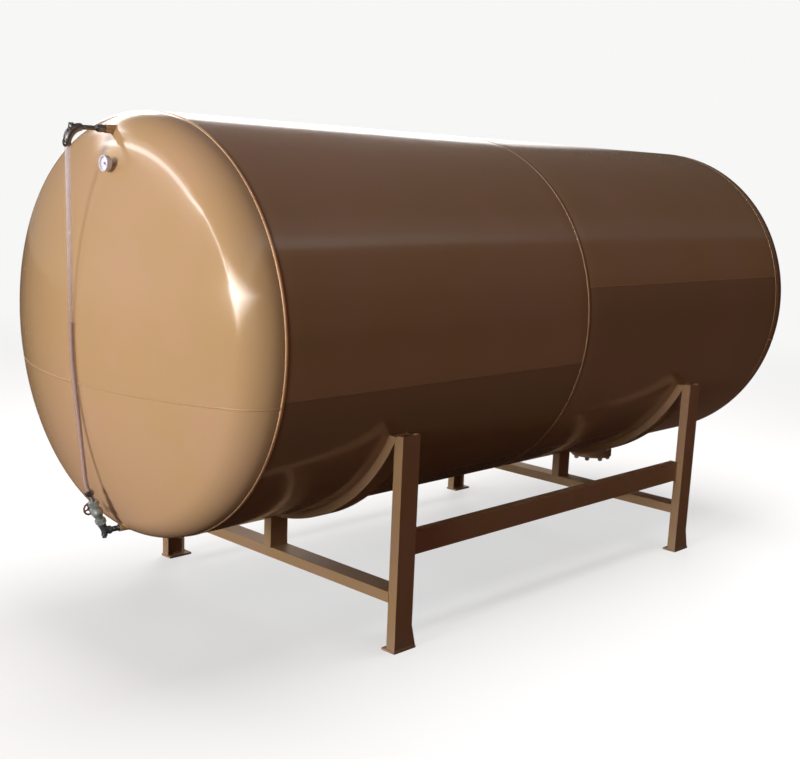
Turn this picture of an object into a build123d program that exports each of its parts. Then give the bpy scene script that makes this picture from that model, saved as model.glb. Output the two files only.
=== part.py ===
from build123d import *
from math import acos, asin, atan2, cos, hypot, pi, radians, sin, sqrt
import os

# Horizontal pressure tank on a welded channel stand, with a level gauge on its near end.
# Millimetres. X runs along the tank's axis from the gauge end, Y to the far side, Z up.
# The origin is on the floor at the centre of the four anchor holes.

# Shell: two rolled courses and two dished ends
TANK_RADIUS = 1000.0
SHELL_WALL = 10.0

# Dished ends: a crown, a rounded knuckle and a short straight flange
CROWN_RADIUS = 2000.0
KNUCKLE_RADIUS = 200.0
END_FLANGE = 20.0
END_WALL = 10.0
END_SEAM_DROP = 225.0

# Fit between rolled or turned faces that meet
SEAT_GAP = 0.3

# Stand: legs, beams and posts are one channel section, the cradles are built up from plate
FRONT_OVERHANG = 795.0
REAR_OVERHANG = 930.0
LEG_PITCH = 2575.0
LEG_INSET = 18.0
CHANNEL_DEPTH = 118.0
CHANNEL_FLANGE = 56.0
CHANNEL_WEB = 6.0
CHANNEL_THICKNESS = 9.0
CHANNEL_ROOT = 10.0
LEG_RISE = 6.0
CRADLE_DEPTH = 42.0
CRADLE_WIDTH = 118.0
CRADLE_PLATE = 8.0
CRADLE_RIB = 9.0
CRADLE_HALF_WRAP = 64.5
CROSS_BEAM_FOOT = 251.0
CENTRE_POST_HEIGHT = 180.7
SIDE_BEAM_TOP = 587.0
SIDE_BEAM_INSET = 40.0

# Feet: a base plate with one anchor hole and a small gusset behind the leg
PLATE_THICKNESS = 12.0
PLATE_MARGIN = 5.0
PLATE_HEEL = 30.0
PLATE_WIDTH = 90.0
ANCHOR_HOLE_RADIUS = 9.0
ANCHOR_INSET = 42.0
GUSSET_HEIGHT = 115.0
GUSSET_THICKNESS = 8.0

# Bottom outlet behind the rear saddle, closed with a blind flange
OUTLET_SETBACK = 360.0
NECK_RADIUS = 84.0
NECK_WALL = 7.0
NECK_LENGTH = 80.0
FLANGE_RADIUS = 142.5
FLANGE_THICKNESS = 22.0
BOLT_CIRCLE_RADIUS = 120.0
BOLT_HOLE_RADIUS = 11.0
BOLT_COUNT = 8
GASKET_THICKNESS = 3.0
GASKET_RADIUS = 106.0
PLUG_RADIUS = 16.0
PLUG_COLLAR = 12.0
PLUG_FLATS = 19.0
PLUG_HEAD = 12.0

# Level gauge: a clear tube drawn over the crown, from an elbow at its top to a valve at its foot
TUBE_RADIUS = 13.0
TUBE_WALL = 3.0
TUBE_FOOT_INSET = 265.0
TUBE_FOOT_STANDOFF = 81.0
TUBE_FOOT_LEAN = 21.5
TUBE_FOOT_BEND = 250.0
COUPLING_RADIUS = 19.0
TOP_FITTING_INSET = 95.0
TOP_COUPLING_LENGTH = 43.0
TOP_UNION_FLATS = 34.0
TOP_UNION_LENGTH = 43.0
TOP_NIPPLE_RADIUS = 10.5
TOP_BEND_RADIUS = 68.0
ELBOW_RADIUS = 17.0
ELBOW_SOCKET_RADIUS = 18.0
ELBOW_SOCKET_LENGTH = 14.0
ELBOW_BOSS_RADIUS = 13.0
ELBOW_BOSS_RISE = 14.0
GLAND_FLATS = 36.0
GLAND_LENGTH = 26.0
TAIL_RADIUS = 12.0
TAIL_LENGTH = 34.0
VALVE_LENGTH = 124.0
VALVE_RADIUS = 19.0
VALVE_FLATS = 46.0
VALVE_HEX_LENGTH = 26.0
VALVE_BALL_RADIUS = 29.0
BONNET_RADIUS = 15.0
BONNET_REACH = 44.0
STEM_RADIUS = 5.0
STEM_LENGTH = 20.0
WHEEL_RADIUS = 32.0
WHEEL_RIM = 5.0
WHEEL_HUB_RADIUS = 9.0
WHEEL_HUB_LENGTH = 12.0
WHEEL_SPOKE = 6.0
WHEEL_SPOKES = 4
BOTTOM_FITTING_INSET = 53.0
BOTTOM_ELBOW_RADIUS = 20.0
BOTTOM_ELBOW_RUN = 34.0
BOTTOM_NIPPLE_RADIUS = 13.5
BOTTOM_COUPLING_LENGTH = 30.0
DRAIN_BOSS_RADIUS = 15.0
DRAIN_BOSS_LENGTH = 4.0
DRAIN_PLUG_FLATS = 19.0
DRAIN_PLUG_LENGTH = 11.0

# Small dial gauge below the upper cock
DIAL_INSET = 245.0
DIAL_SIDE = -97.0
DIAL_RADIUS = 35.0
DIAL_DEPTH = 28.0
DIAL_RIM = 4.0
DIAL_STEM_RADIUS = 8.0
DIAL_STANDOFF = 22.0
DIAL_CARD = 2.0
DIAL_GLASS = 3.0
DIAL_GLASS_INSET = 3.0

# Places along the tank
LEG_X = LEG_PITCH / 2
FRONT_SEAM_X = -LEG_X - FRONT_OVERHANG
REAR_SEAM_X = LEG_X + REAR_OVERHANG
COURSE_LENGTH = (REAR_SEAM_X - FRONT_SEAM_X) / 2
MIDDLE_SEAM_X = FRONT_SEAM_X + COURSE_LENGTH
STAND_SIDE = TANK_RADIUS - LEG_INSET
CRADLE_OUTER = TANK_RADIUS + SEAT_GAP + CRADLE_DEPTH
CROSS_BEAM_TOP = CROSS_BEAM_FOOT + CHANNEL_FLANGE
AXIS_HEIGHT = CROSS_BEAM_TOP + CENTRE_POST_HEIGHT + CRADLE_OUTER
CRADLE_END_Z = AXIS_HEIGHT - CRADLE_OUTER * cos(radians(CRADLE_HALF_WRAP))

parts = {}


FROM_START = (Align.CENTER, Align.CENTER, Align.MIN)


def along_x(x, y, z, radius, length):
    """A round bar whose axis runs along +X from the point x, y, z."""
    return Pos(x, y, z) * Rot(0, 90, 0) * Cylinder(radius, length, align=FROM_START)


def along_z(x, y, z, radius, length):
    """A round bar whose axis runs up from the point x, y, z."""
    return Pos(x, y, z) * Cylinder(radius, length, align=FROM_START)


def hexagon_x(x, y, z, flats, length):
    """A hexagon bar along +X from the point x, y, z, with its width across flats."""
    plane = Plane(origin=(x, y, z), x_dir=(0, 1, 0), z_dir=(1, 0, 0))
    return extrude(plane * RegularPolygon(flats / sqrt(3), 6), length)


def hexagon_z(x, y, z, flats, length):
    """A hexagon bar up from the point x, y, z, with its width across flats."""
    return extrude(Pos(x, y, z) * RegularPolygon(flats / sqrt(3), 6), length)


def tank_cylinder(radius):
    """A round bar on the tank's axis, longer than the shell, for coping pieces to it."""
    return along_x(FRONT_SEAM_X - TANK_RADIUS, 0, AXIS_HEIGHT, radius, 2 * (COURSE_LENGTH + TANK_RADIUS))


# Shell and ends

def shell_course(start_x):
    outer = along_x(start_x, 0, AXIS_HEIGHT, TANK_RADIUS, COURSE_LENGTH)
    inner = along_x(start_x, 0, AXIS_HEIGHT, TANK_RADIUS - SHELL_WALL, COURSE_LENGTH)
    return outer - inner


def end_depth(radius, crown, knuckle):
    """Height of the dish above its straight flange."""
    return crown - sqrt((crown - knuckle) ** 2 - (radius - knuckle) ** 2)


END_DEPTH = end_depth(TANK_RADIUS, CROWN_RADIUS, KNUCKLE_RADIUS)
CROWN_CENTRE = END_FLANGE + END_DEPTH - CROWN_RADIUS
APEX_REACH = END_FLANGE + END_DEPTH


def dish_face(radius, crown, knuckle):
    """Half section of a filled dish in the plane of its axis: first coordinate out, second across."""
    depth = end_depth(radius, crown, knuckle)
    crown_centre = END_FLANGE + depth - crown
    turn = atan2(radius - knuckle, END_FLANGE - crown_centre)
    tangent = (crown_centre + crown * cos(turn), crown * sin(turn))
    half = turn / 2
    crown_middle = (crown_centre + crown * cos(half), crown * sin(half))
    knuckle_turn = (turn + pi / 2) / 2
    knuckle_axis = radius - knuckle
    knuckle_middle = (END_FLANGE + knuckle * cos(knuckle_turn), knuckle_axis + knuckle * sin(knuckle_turn))
    edges = [
        Line((0, 0), (END_FLANGE + depth, 0)),
        ThreePointArc((END_FLANGE + depth, 0), crown_middle, tangent),
        ThreePointArc(tangent, knuckle_middle, (END_FLANGE, radius)),
        Line((END_FLANGE, radius), (0, radius)),
        Line((0, radius), (0, 0)),
    ]
    return make_face(edges)


def dished_end():
    """One end at the origin with its apex towards +X, its axis along X."""
    outer = revolve(dish_face(TANK_RADIUS, CROWN_RADIUS, KNUCKLE_RADIUS), Axis.X, 360)
    inner_face = dish_face(TANK_RADIUS - END_WALL, CROWN_RADIUS - END_WALL, KNUCKLE_RADIUS - END_WALL)
    return outer - revolve(inner_face, Axis.X, 360)


def end_plates(seam_x, turn):
    """The dished end's upper and lower plates, which meet on a level weld below the axis."""
    whole = Pos(seam_x, 0, AXIS_HEIGHT) * Rot(0, 0, turn) * dished_end()
    size = 4 * TANK_RADIUS
    level = AXIS_HEIGHT - END_SEAM_DROP
    above = Pos(seam_x, 0, level) * Box(size, size, size, align=FROM_START)
    return whole & above, whole - above


# Stand

def channel_face():
    """Channel section: web on the Y axis, flanges towards +X, centred on the X axis."""
    half = CHANNEL_DEPTH / 2
    corners = [
        (0, -half),
        (CHANNEL_FLANGE, -half),
        (CHANNEL_FLANGE, -half + CHANNEL_THICKNESS),
        (CHANNEL_WEB, -half + CHANNEL_THICKNESS),
        (CHANNEL_WEB, half - CHANNEL_THICKNESS),
        (CHANNEL_FLANGE, half - CHANNEL_THICKNESS),
        (CHANNEL_FLANGE, half),
        (0, half),
    ]
    face = make_face(Polyline(corners, close=True))
    roots = face.vertices().filter_by(lambda v: abs(v.X - CHANNEL_WEB) < 0.01)
    face = fillet(roots, CHANNEL_ROOT)
    toes = face.vertices().filter_by(lambda v: v.X > CHANNEL_FLANGE - 1 and abs(v.Y) < half - 1)
    return fillet(toes, CHANNEL_THICKNESS / 2)


def channel(start, run, web_side, length):
    """A channel from a point along run; web_side is the way that its web faces, away from the flanges."""
    inward = Vector(*web_side) * -1
    plane = Plane(origin=start, x_dir=tuple(inward), z_dir=run)
    return extrude(plane * channel_face(), length)


def leg(x, side):
    """An upright with its web outwards, coped at the top to the cradle."""
    height = CRADLE_END_Z + LEG_RISE - PLATE_THICKNESS
    upright = channel((x, side * STAND_SIDE, PLATE_THICKNESS), (0, 0, 1), (0, side, 0), height)
    return upright - tank_cylinder(CRADLE_OUTER + SEAT_GAP)


def base_plate(x, side):
    """A foot plate with its anchor hole, and the gusset that stiffens the leg's heel."""
    length = CHANNEL_DEPTH + PLATE_MARGIN + PLATE_HEEL
    front = x - CHANNEL_DEPTH / 2 - PLATE_MARGIN
    outer = side * (STAND_SIDE + PLATE_MARGIN)
    plate = Pos(front + length / 2, outer - side * PLATE_WIDTH / 2, PLATE_THICKNESS / 2)
    plate = plate * Box(length, PLATE_WIDTH, PLATE_THICKNESS)
    plate -= along_z(x, side * (STAND_SIDE - ANCHOR_INSET), 0, ANCHOR_HOLE_RADIUS, PLATE_THICKNESS)
    heel = x + CHANNEL_DEPTH / 2
    corners = [
        (heel, PLATE_THICKNESS),
        (heel + PLATE_HEEL, PLATE_THICKNESS),
        (heel, PLATE_THICKNESS + GUSSET_HEIGHT),
    ]
    web = Plane(origin=(0, side * STAND_SIDE, 0), x_dir=(1, 0, 0), z_dir=(0, -1, 0))
    gusset = extrude(web * make_face(Polyline(corners, close=True)), side * GUSSET_THICKNESS)
    return plate + gusset


def cradle(x):
    """A built-up cradle: a rolled plate below and two ribs cut to the shell."""
    plate_inner = CRADLE_OUTER - CRADLE_PLATE
    start = x - CRADLE_WIDTH / 2
    band = along_x(start, 0, AXIS_HEIGHT, CRADLE_OUTER, CRADLE_WIDTH)
    band -= along_x(start, 0, AXIS_HEIGHT, TANK_RADIUS + SEAT_GAP, CRADLE_WIDTH)
    hollow = along_x(start + CRADLE_RIB, 0, AXIS_HEIGHT, plate_inner, CRADLE_WIDTH - 2 * CRADLE_RIB)
    band -= hollow
    size = 4 * TANK_RADIUS
    return band - Pos(x, 0, CRADLE_END_Z) * Box(size, size, size, align=FROM_START)


def cross_beam(x):
    """A channel laid flat between the legs, web up."""
    reach = STAND_SIDE - CHANNEL_FLANGE
    return channel((x, -reach, CROSS_BEAM_TOP), (0, 1, 0), (0, 0, 1), 2 * reach)


def centre_post(x):
    """A short upright from the cross beam to the lowest part of the cradle."""
    height = CENTRE_POST_HEIGHT + CRADLE_DEPTH
    upright = channel((x, -CHANNEL_FLANGE / 2, CROSS_BEAM_TOP), (0, 0, 1), (0, -1, 0), height)
    return upright - tank_cylinder(CRADLE_OUTER + SEAT_GAP)


def side_beam(side):
    """A channel on edge between the front and rear legs of one side, web outwards."""
    start = -LEG_X + CHANNEL_DEPTH / 2
    length = LEG_PITCH - CHANNEL_DEPTH
    middle = SIDE_BEAM_TOP - CHANNEL_DEPTH / 2
    return channel((start, side * (STAND_SIDE - SIDE_BEAM_INSET), middle), (1, 0, 0), (0, side, 0), length)


# Bottom outlet

def ring_of_holes(x, z, thickness):
    """Round bars through one flange, one for each bolt hole, none on the centre lines."""
    holes = []
    for i in range(BOLT_COUNT):
        angle = 2 * pi * (i + 0.5) / BOLT_COUNT
        out = BOLT_CIRCLE_RADIUS * cos(angle)
        across = BOLT_CIRCLE_RADIUS * sin(angle)
        holes.append(along_z(x + out, across, z, BOLT_HOLE_RADIUS, thickness))
    return holes


def outlet():
    """Neck, flange, gasket, blind flange and drain plug under the shell."""
    x = LEG_X + OUTLET_SETBACK
    shell_foot = AXIS_HEIGHT - TANK_RADIUS
    neck_foot = shell_foot - NECK_LENGTH
    neck = along_z(x, 0, neck_foot, NECK_RADIUS, NECK_LENGTH + NECK_RADIUS)
    neck -= along_z(x, 0, neck_foot, NECK_RADIUS - NECK_WALL, NECK_LENGTH + NECK_RADIUS)
    neck -= tank_cylinder(TANK_RADIUS + SEAT_GAP)
    flange_foot = neck_foot - FLANGE_THICKNESS
    flange = along_z(x, 0, flange_foot, FLANGE_RADIUS, FLANGE_THICKNESS)
    flange -= along_z(x, 0, flange_foot, NECK_RADIUS - NECK_WALL, FLANGE_THICKNESS)
    gasket_foot = flange_foot - GASKET_THICKNESS
    gasket = along_z(x, 0, gasket_foot, GASKET_RADIUS, GASKET_THICKNESS)
    gasket -= along_z(x, 0, gasket_foot, NECK_RADIUS - NECK_WALL, GASKET_THICKNESS)
    blind_foot = gasket_foot - FLANGE_THICKNESS
    blind = along_z(x, 0, blind_foot, FLANGE_RADIUS, FLANGE_THICKNESS)
    for hole in ring_of_holes(x, flange_foot, FLANGE_THICKNESS):
        flange -= hole
    for hole in ring_of_holes(x, blind_foot, FLANGE_THICKNESS):
        blind -= hole
    plug_foot = blind_foot - PLUG_COLLAR
    plug = along_z(x, 0, plug_foot, PLUG_RADIUS, PLUG_COLLAR)
    plug += hexagon_z(x, 0, plug_foot - PLUG_HEAD, PLUG_FLATS, PLUG_HEAD)
    parts["outlet_neck"] = neck
    parts["outlet_flange"] = flange
    parts["outlet_gasket"] = gasket
    parts["outlet_blind_flange"] = blind
    parts["outlet_drain_plug"] = plug


# Level gauge and dial gauge on the front end

def front_end_x(across):
    """X of the front end's outer face at a distance from the axis, on crown or knuckle."""
    tangent = asin((TANK_RADIUS - KNUCKLE_RADIUS) / (CROWN_RADIUS - KNUCKLE_RADIUS))
    if across <= CROWN_RADIUS * sin(tangent):
        return FRONT_SEAM_X - CROWN_CENTRE - sqrt(CROWN_RADIUS ** 2 - across ** 2)
    over = across - (TANK_RADIUS - KNUCKLE_RADIUS)
    return FRONT_SEAM_X - END_FLANGE - sqrt(KNUCKLE_RADIUS ** 2 - over ** 2)


def front_end_tool():
    """The filled front end, for coping what is welded on to it."""
    dish = revolve(dish_face(TANK_RADIUS, CROWN_RADIUS, KNUCKLE_RADIUS), Axis.X, 360)
    return Pos(FRONT_SEAM_X, 0, AXIS_HEIGHT) * Rot(0, 0, 180) * dish


# The clear tube stands upright to the crown's apex, lies along the crown, runs straight
# and bends in to its gland, which leans with the valve below it
TUBE_X = FRONT_SEAM_X - APEX_REACH - SEAT_GAP - TUBE_RADIUS
FOOT_DROP = TANK_RADIUS - TUBE_FOOT_INSET
FOOT_X = front_end_x(FOOT_DROP) - TUBE_FOOT_STANDOFF
FOOT_Z = AXIS_HEIGHT - FOOT_DROP
LEAN = radians(TUBE_FOOT_LEAN)
TOP_BEND_X = TUBE_X + TOP_BEND_RADIUS
TOP_FITTING_RISE = TANK_RADIUS - TOP_FITTING_INSET
TOP_FITTING_Z = AXIS_HEIGHT + TOP_FITTING_RISE
TUBE_TOP_Z = TOP_FITTING_Z - TOP_BEND_RADIUS - ELBOW_SOCKET_LENGTH


def sight_tube_path():
    """Centre line of the tube: two straights and two arcs, all tangent, in the plane y = 0."""
    crown_bend = CROWN_RADIUS + SEAT_GAP + TUBE_RADIUS
    crown_x0 = TUBE_X + crown_bend
    foot_x0 = FOOT_X + TUBE_FOOT_BEND * cos(LEAN)
    foot_z0 = FOOT_Z + TUBE_FOOT_BEND * sin(LEAN)
    across = foot_x0 - crown_x0
    along = foot_z0 - AXIS_HEIGHT
    turn = atan2(along, across) + acos((TUBE_FOOT_BEND - crown_bend) / hypot(across, along))

    def on_crown(angle):
        return (crown_x0 - crown_bend * cos(angle), 0, AXIS_HEIGHT - crown_bend * sin(angle))

    def on_foot(angle):
        return (foot_x0 - TUBE_FOOT_BEND * cos(angle), 0, foot_z0 - TUBE_FOOT_BEND * sin(angle))

    return Wire([
        Line((TUBE_X, 0, TUBE_TOP_Z), on_crown(0)),
        ThreePointArc(on_crown(0), on_crown(turn / 2), on_crown(turn)),
        Line(on_crown(turn), on_foot(turn)),
        ThreePointArc(on_foot(turn), on_foot((turn + LEAN) / 2), on_foot(LEAN)),
    ])


def sight_tube():
    path = sight_tube_path()
    section = Plane(origin=(TUBE_X, 0, TUBE_TOP_Z), z_dir=(0, 0, -1))
    outer = sweep(section * Circle(TUBE_RADIUS), path=path)
    inner = sweep(section * Circle(TUBE_RADIUS - TUBE_WALL), path=path)
    return outer - inner


def upper_fittings():
    """Coupling on the end, union nut, nipple and the elbow that the tube hangs from."""
    z = TOP_FITTING_Z
    coupling_x = front_end_x(TOP_FITTING_RISE) - TOP_COUPLING_LENGTH
    union_x = coupling_x - TOP_UNION_LENGTH
    coupling = along_x(coupling_x, 0, z, COUPLING_RADIUS, FRONT_SEAM_X - coupling_x) - front_end_tool()
    union = hexagon_x(union_x, 0, z, TOP_UNION_FLATS, TOP_UNION_LENGTH)
    nipple = along_x(TOP_BEND_X, 0, z, TOP_NIPPLE_RADIUS, union_x - TOP_BEND_X)
    bend_z = z - TOP_BEND_RADIUS
    quarter = (TOP_BEND_X - TOP_BEND_RADIUS * sin(pi / 4), 0, bend_z + TOP_BEND_RADIUS * cos(pi / 4))
    path = ThreePointArc((TOP_BEND_X, 0, z), quarter, (TUBE_X, 0, bend_z))
    section = Plane(origin=(TOP_BEND_X, 0, z), z_dir=(-1, 0, 0))
    elbow = sweep(section * Circle(ELBOW_RADIUS), path=path)
    elbow += along_z(TUBE_X, 0, bend_z - ELBOW_SOCKET_LENGTH, ELBOW_SOCKET_RADIUS, ELBOW_SOCKET_LENGTH)
    elbow += along_z(quarter[0], 0, quarter[2], ELBOW_BOSS_RADIUS, z + ELBOW_BOSS_RISE - quarter[2])
    parts["gauge_top_coupling"] = coupling
    parts["gauge_top_union"] = union
    parts["gauge_top_nipple"] = nipple
    parts["gauge_top_elbow"] = elbow


def on_lean(distance):
    """A frame on the leaning axis below the tube's foot, its Z up along the axis towards the tube."""
    down = (sin(LEAN), 0, -cos(LEAN))
    origin = (FOOT_X + distance * down[0], 0, FOOT_Z + distance * down[2])
    return Plane(origin=origin, x_dir=(0, 1, 0), z_dir=(-down[0], 0, -down[2]))


def on_axis(plane, radius, length):
    """A round bar up along a plane's normal."""
    return extrude(plane * Circle(radius), length)


def lower_fittings():
    """Gland, tail, valve, elbow with its drain plug, nipple and coupling at the tube's foot."""
    gland = extrude(on_lean(GLAND_LENGTH) * RegularPolygon(GLAND_FLATS / sqrt(3), 6), GLAND_LENGTH)
    tail_end = GLAND_LENGTH + TAIL_LENGTH
    tail = on_axis(on_lean(tail_end), TAIL_RADIUS, TAIL_LENGTH)
    valve_end = tail_end + VALVE_LENGTH
    middle = on_lean(tail_end + VALVE_LENGTH / 2)
    hexagon = RegularPolygon(VALVE_FLATS / sqrt(3), 6)
    valve = on_axis(on_lean(valve_end), VALVE_RADIUS, VALVE_LENGTH)
    valve += extrude(on_lean(valve_end) * hexagon, VALVE_HEX_LENGTH)
    valve += extrude(on_lean(tail_end + VALVE_HEX_LENGTH) * hexagon, VALVE_HEX_LENGTH)
    valve += Pos(*middle.origin) * Sphere(VALVE_BALL_RADIUS)
    bonnet = Plane(origin=middle.origin, z_dir=(0, 1, 0))
    valve += on_axis(bonnet, BONNET_RADIUS, BONNET_REACH)
    stem_plane = Plane(origin=middle.origin + Vector(0, BONNET_REACH, 0), z_dir=(0, 1, 0))
    stem = on_axis(stem_plane, STEM_RADIUS, STEM_LENGTH)
    wheel_plane = Plane(origin=middle.origin + Vector(0, BONNET_REACH + STEM_LENGTH, 0), z_dir=(0, 1, 0))

    fitting_drop = TANK_RADIUS - BOTTOM_FITTING_INSET
    z = AXIS_HEIGHT - fitting_drop
    corner_drop = FOOT_Z - z
    corner = on_lean(corner_drop / cos(LEAN))
    corner_x = corner.origin.X
    elbow = on_axis(corner, BOTTOM_ELBOW_RADIUS, corner_drop / cos(LEAN) - valve_end)
    elbow += Pos(corner_x, 0, z) * Sphere(BOTTOM_ELBOW_RADIUS)
    elbow += along_x(corner_x, 0, z, BOTTOM_ELBOW_RADIUS, BOTTOM_ELBOW_RUN)
    boss_foot = z - BOTTOM_ELBOW_RADIUS - DRAIN_BOSS_LENGTH
    elbow += along_z(corner_x, 0, boss_foot, DRAIN_BOSS_RADIUS, z - boss_foot)
    plug = hexagon_z(corner_x, 0, boss_foot - DRAIN_PLUG_LENGTH, DRAIN_PLUG_FLATS, DRAIN_PLUG_LENGTH)
    nipple_x = corner_x + BOTTOM_ELBOW_RUN
    coupling_x = front_end_x(fitting_drop) - BOTTOM_COUPLING_LENGTH
    nipple = along_x(nipple_x, 0, z, BOTTOM_NIPPLE_RADIUS, coupling_x - nipple_x)
    coupling = along_x(coupling_x, 0, z, COUPLING_RADIUS, FRONT_SEAM_X - coupling_x) - front_end_tool()
    parts["gauge_bottom_gland"] = gland
    parts["gauge_bottom_tail"] = tail
    parts["gauge_bottom_valve"] = valve
    parts["gauge_bottom_stem"] = stem
    parts["gauge_bottom_wheel"] = hand_wheel(wheel_plane)
    parts["gauge_bottom_elbow"] = elbow
    parts["gauge_drain_plug"] = plug
    parts["gauge_bottom_nipple"] = nipple
    parts["gauge_bottom_coupling"] = coupling


def hand_wheel(plane):
    """A small spoked wheel whose hub sits on the stem's end, in the given plane."""
    reach = WHEEL_RADIUS - WHEEL_RIM
    centre = plane.origin + plane.z_dir * (WHEEL_HUB_LENGTH / 2)
    middle = Plane(origin=centre, x_dir=plane.x_dir, z_dir=plane.z_dir)
    wheel = middle * Torus(reach, WHEEL_RIM)
    wheel += on_axis(plane, WHEEL_HUB_RADIUS, WHEEL_HUB_LENGTH)
    for spoke in range(WHEEL_SPOKES):
        turn = Rot(0, 0, 360 / WHEEL_SPOKES * spoke)
        wheel += middle * turn * Pos(reach / 2, 0, 0) * Box(reach, WHEEL_SPOKE, WHEEL_SPOKE)
    return wheel


def dial_gauge():
    """Stem, case, face and glass of the small pressure gauge."""
    y = DIAL_SIDE
    rise = TANK_RADIUS - DIAL_INSET
    z = AXIS_HEIGHT + rise
    root_x = front_end_x(hypot(rise, DIAL_SIDE))
    case_back = root_x - DIAL_STANDOFF
    stem = along_x(case_back, y, z, DIAL_STEM_RADIUS, FRONT_SEAM_X - case_back) - front_end_tool()
    front = case_back - DIAL_DEPTH
    case = along_x(front, y, z, DIAL_RADIUS, DIAL_DEPTH)
    case -= along_x(front, y, z, DIAL_RADIUS - DIAL_RIM, DIAL_DEPTH - DIAL_RIM)
    seat = case_back - DIAL_RIM
    face = along_x(seat - DIAL_CARD, y, z, DIAL_RADIUS - DIAL_RIM, DIAL_CARD)
    glass = along_x(front + DIAL_GLASS_INSET, y, z, DIAL_RADIUS - DIAL_RIM, DIAL_GLASS)
    parts["dial_stem"] = stem
    parts["dial_case"] = case
    parts["dial_face"] = face
    parts["dial_glass"] = glass


def build_tank():
    parts["shell_front_course"] = shell_course(FRONT_SEAM_X)
    parts["shell_rear_course"] = shell_course(MIDDLE_SEAM_X)
    parts["front_end_upper"], parts["front_end_lower"] = end_plates(FRONT_SEAM_X, 180)
    parts["rear_end_upper"], parts["rear_end_lower"] = end_plates(REAR_SEAM_X, 0)


def build_stand():
    for place, x in (("front", -LEG_X), ("rear", LEG_X)):
        parts[place + "_cradle"] = cradle(x)
        parts[place + "_cross_beam"] = cross_beam(x)
        parts[place + "_centre_post"] = centre_post(x)
        for hand, side in (("near", -1), ("far", 1)):
            parts[place + "_" + hand + "_leg"] = leg(x, side)
            parts[place + "_" + hand + "_base_plate"] = base_plate(x, side)
    parts["near_side_beam"] = side_beam(-1)
    parts["far_side_beam"] = side_beam(1)


build_tank()
build_stand()
outlet()
parts["sight_tube"] = sight_tube()
upper_fittings()
lower_fittings()
dial_gauge()

os.makedirs("parts", exist_ok=True)
for name, piece in parts.items():
    piece.label = name
    export_step(piece, "parts/" + name + ".step")
    print(name, round(piece.volume))
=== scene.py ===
from math import acos, atan2, cos, exp, hypot, pi, radians, sin, sqrt

import bmesh
import bpy
from mathutils import Matrix, Vector, noise


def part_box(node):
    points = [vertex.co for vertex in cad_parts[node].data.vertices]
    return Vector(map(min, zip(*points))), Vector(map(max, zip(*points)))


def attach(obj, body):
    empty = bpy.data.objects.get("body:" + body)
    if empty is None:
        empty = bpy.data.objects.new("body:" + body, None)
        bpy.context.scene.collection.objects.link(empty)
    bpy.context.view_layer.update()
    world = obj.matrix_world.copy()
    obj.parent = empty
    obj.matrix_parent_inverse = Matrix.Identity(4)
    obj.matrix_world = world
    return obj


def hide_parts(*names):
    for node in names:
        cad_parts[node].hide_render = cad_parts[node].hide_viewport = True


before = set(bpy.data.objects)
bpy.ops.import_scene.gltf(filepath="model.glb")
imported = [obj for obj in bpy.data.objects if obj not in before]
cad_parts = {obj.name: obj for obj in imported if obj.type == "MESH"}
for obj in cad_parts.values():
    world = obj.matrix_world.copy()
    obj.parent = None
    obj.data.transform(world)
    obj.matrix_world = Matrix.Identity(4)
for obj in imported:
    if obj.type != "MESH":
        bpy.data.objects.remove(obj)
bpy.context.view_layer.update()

bl_info = {
    "name": "Horizontal pressure tank",
    "version": (1, 0, 0),
    "blender": (4, 5, 0),
    "location": "3D View > Sidebar > Tank",
    "description": "Builds a pressure tank on a channel stand, with a level gauge and a bottom outlet",
    "category": "Object",
}

# The tank's own lines in metres, read from its solids. X runs along the axis from the gauge end, Z is up.
FRONT_LOW, FRONT_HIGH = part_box("shell_front_course")
FRONT_SEAM, MIDDLE_SEAM = FRONT_LOW.x, FRONT_HIGH.x
REAR_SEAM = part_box("shell_rear_course")[1].x
SHELL_RADIUS = 1.0
AXIS_Z = FRONT_LOW.z + SHELL_RADIUS
CHORD_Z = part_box("front_end_lower")[1].z
CROWN_RADIUS = 2.0
KNUCKLE_RADIUS = 0.2
END_FLANGE = 0.02
SHELL_WALL = 0.01
CRADLE_RISE = 0.0423

# The solid's facets reach a little less far than its radius, and the drawn plate lies just inside them
TANK_RADIUS = (FRONT_HIGH.y - FRONT_LOW.y) / 2
PLATE_RADIUS = TANK_RADIUS - 0.0016

# The way from the eye to the gauge end, by which the strip light is bent to follow the knuckle
TOWARD_GAUGE_END = Vector((0.583, 0.812, -0.022))

UP = Vector((0.0, 0.0, 1.0))
ALONG = Vector((1.0, 0.0, 0.0))
SIDEWAYS = Vector((0.0, 1.0, 0.0))


# Sizes and colours that a user would change

def length(name, description, default, low, high):
    return bpy.props.FloatProperty(
        name=name, description=description, default=default, min=low, max=high, unit="LENGTH")


def whole(name, description, default, low, high):
    return bpy.props.IntProperty(name=name, description=description, default=default, min=low, max=high)


def strength(name, description, default, high=20.0):
    return bpy.props.FloatProperty(name=name, description=description, default=default, min=0.0, max=high)


def tint(name, description, default):
    return bpy.props.FloatVectorProperty(
        name=name, description=description, default=default, min=0.0, max=1.0, subtype="COLOR")


class TankSizes(bpy.types.PropertyGroup):
    around: whole("Faces around", "Faces round the shell", 256, 64, 360)
    dent: length("Plate unevenness", "How far the rolled plate dips between its true lines",
                 0.0012, 0.0, 0.003)
    seam_dip: length("Seam dip", "How far the plates dip towards a weld", 0.001, 0.0, 0.004)
    seam_spread: length("Seam spread", "How wide the dip beside a weld is", 0.045, 0.02, 0.1)
    bead_width: length("Bead width", "Width of the shell's weld beads", 0.018, 0.004, 0.03)
    bead_height: length("Bead height", "Height of the shell's weld beads above the plate",
                        0.0028, 0.001, 0.005)
    ripple: length("Ripple", "Distance between the ripples of a weld bead", 0.006, 0.002, 0.02)


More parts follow.
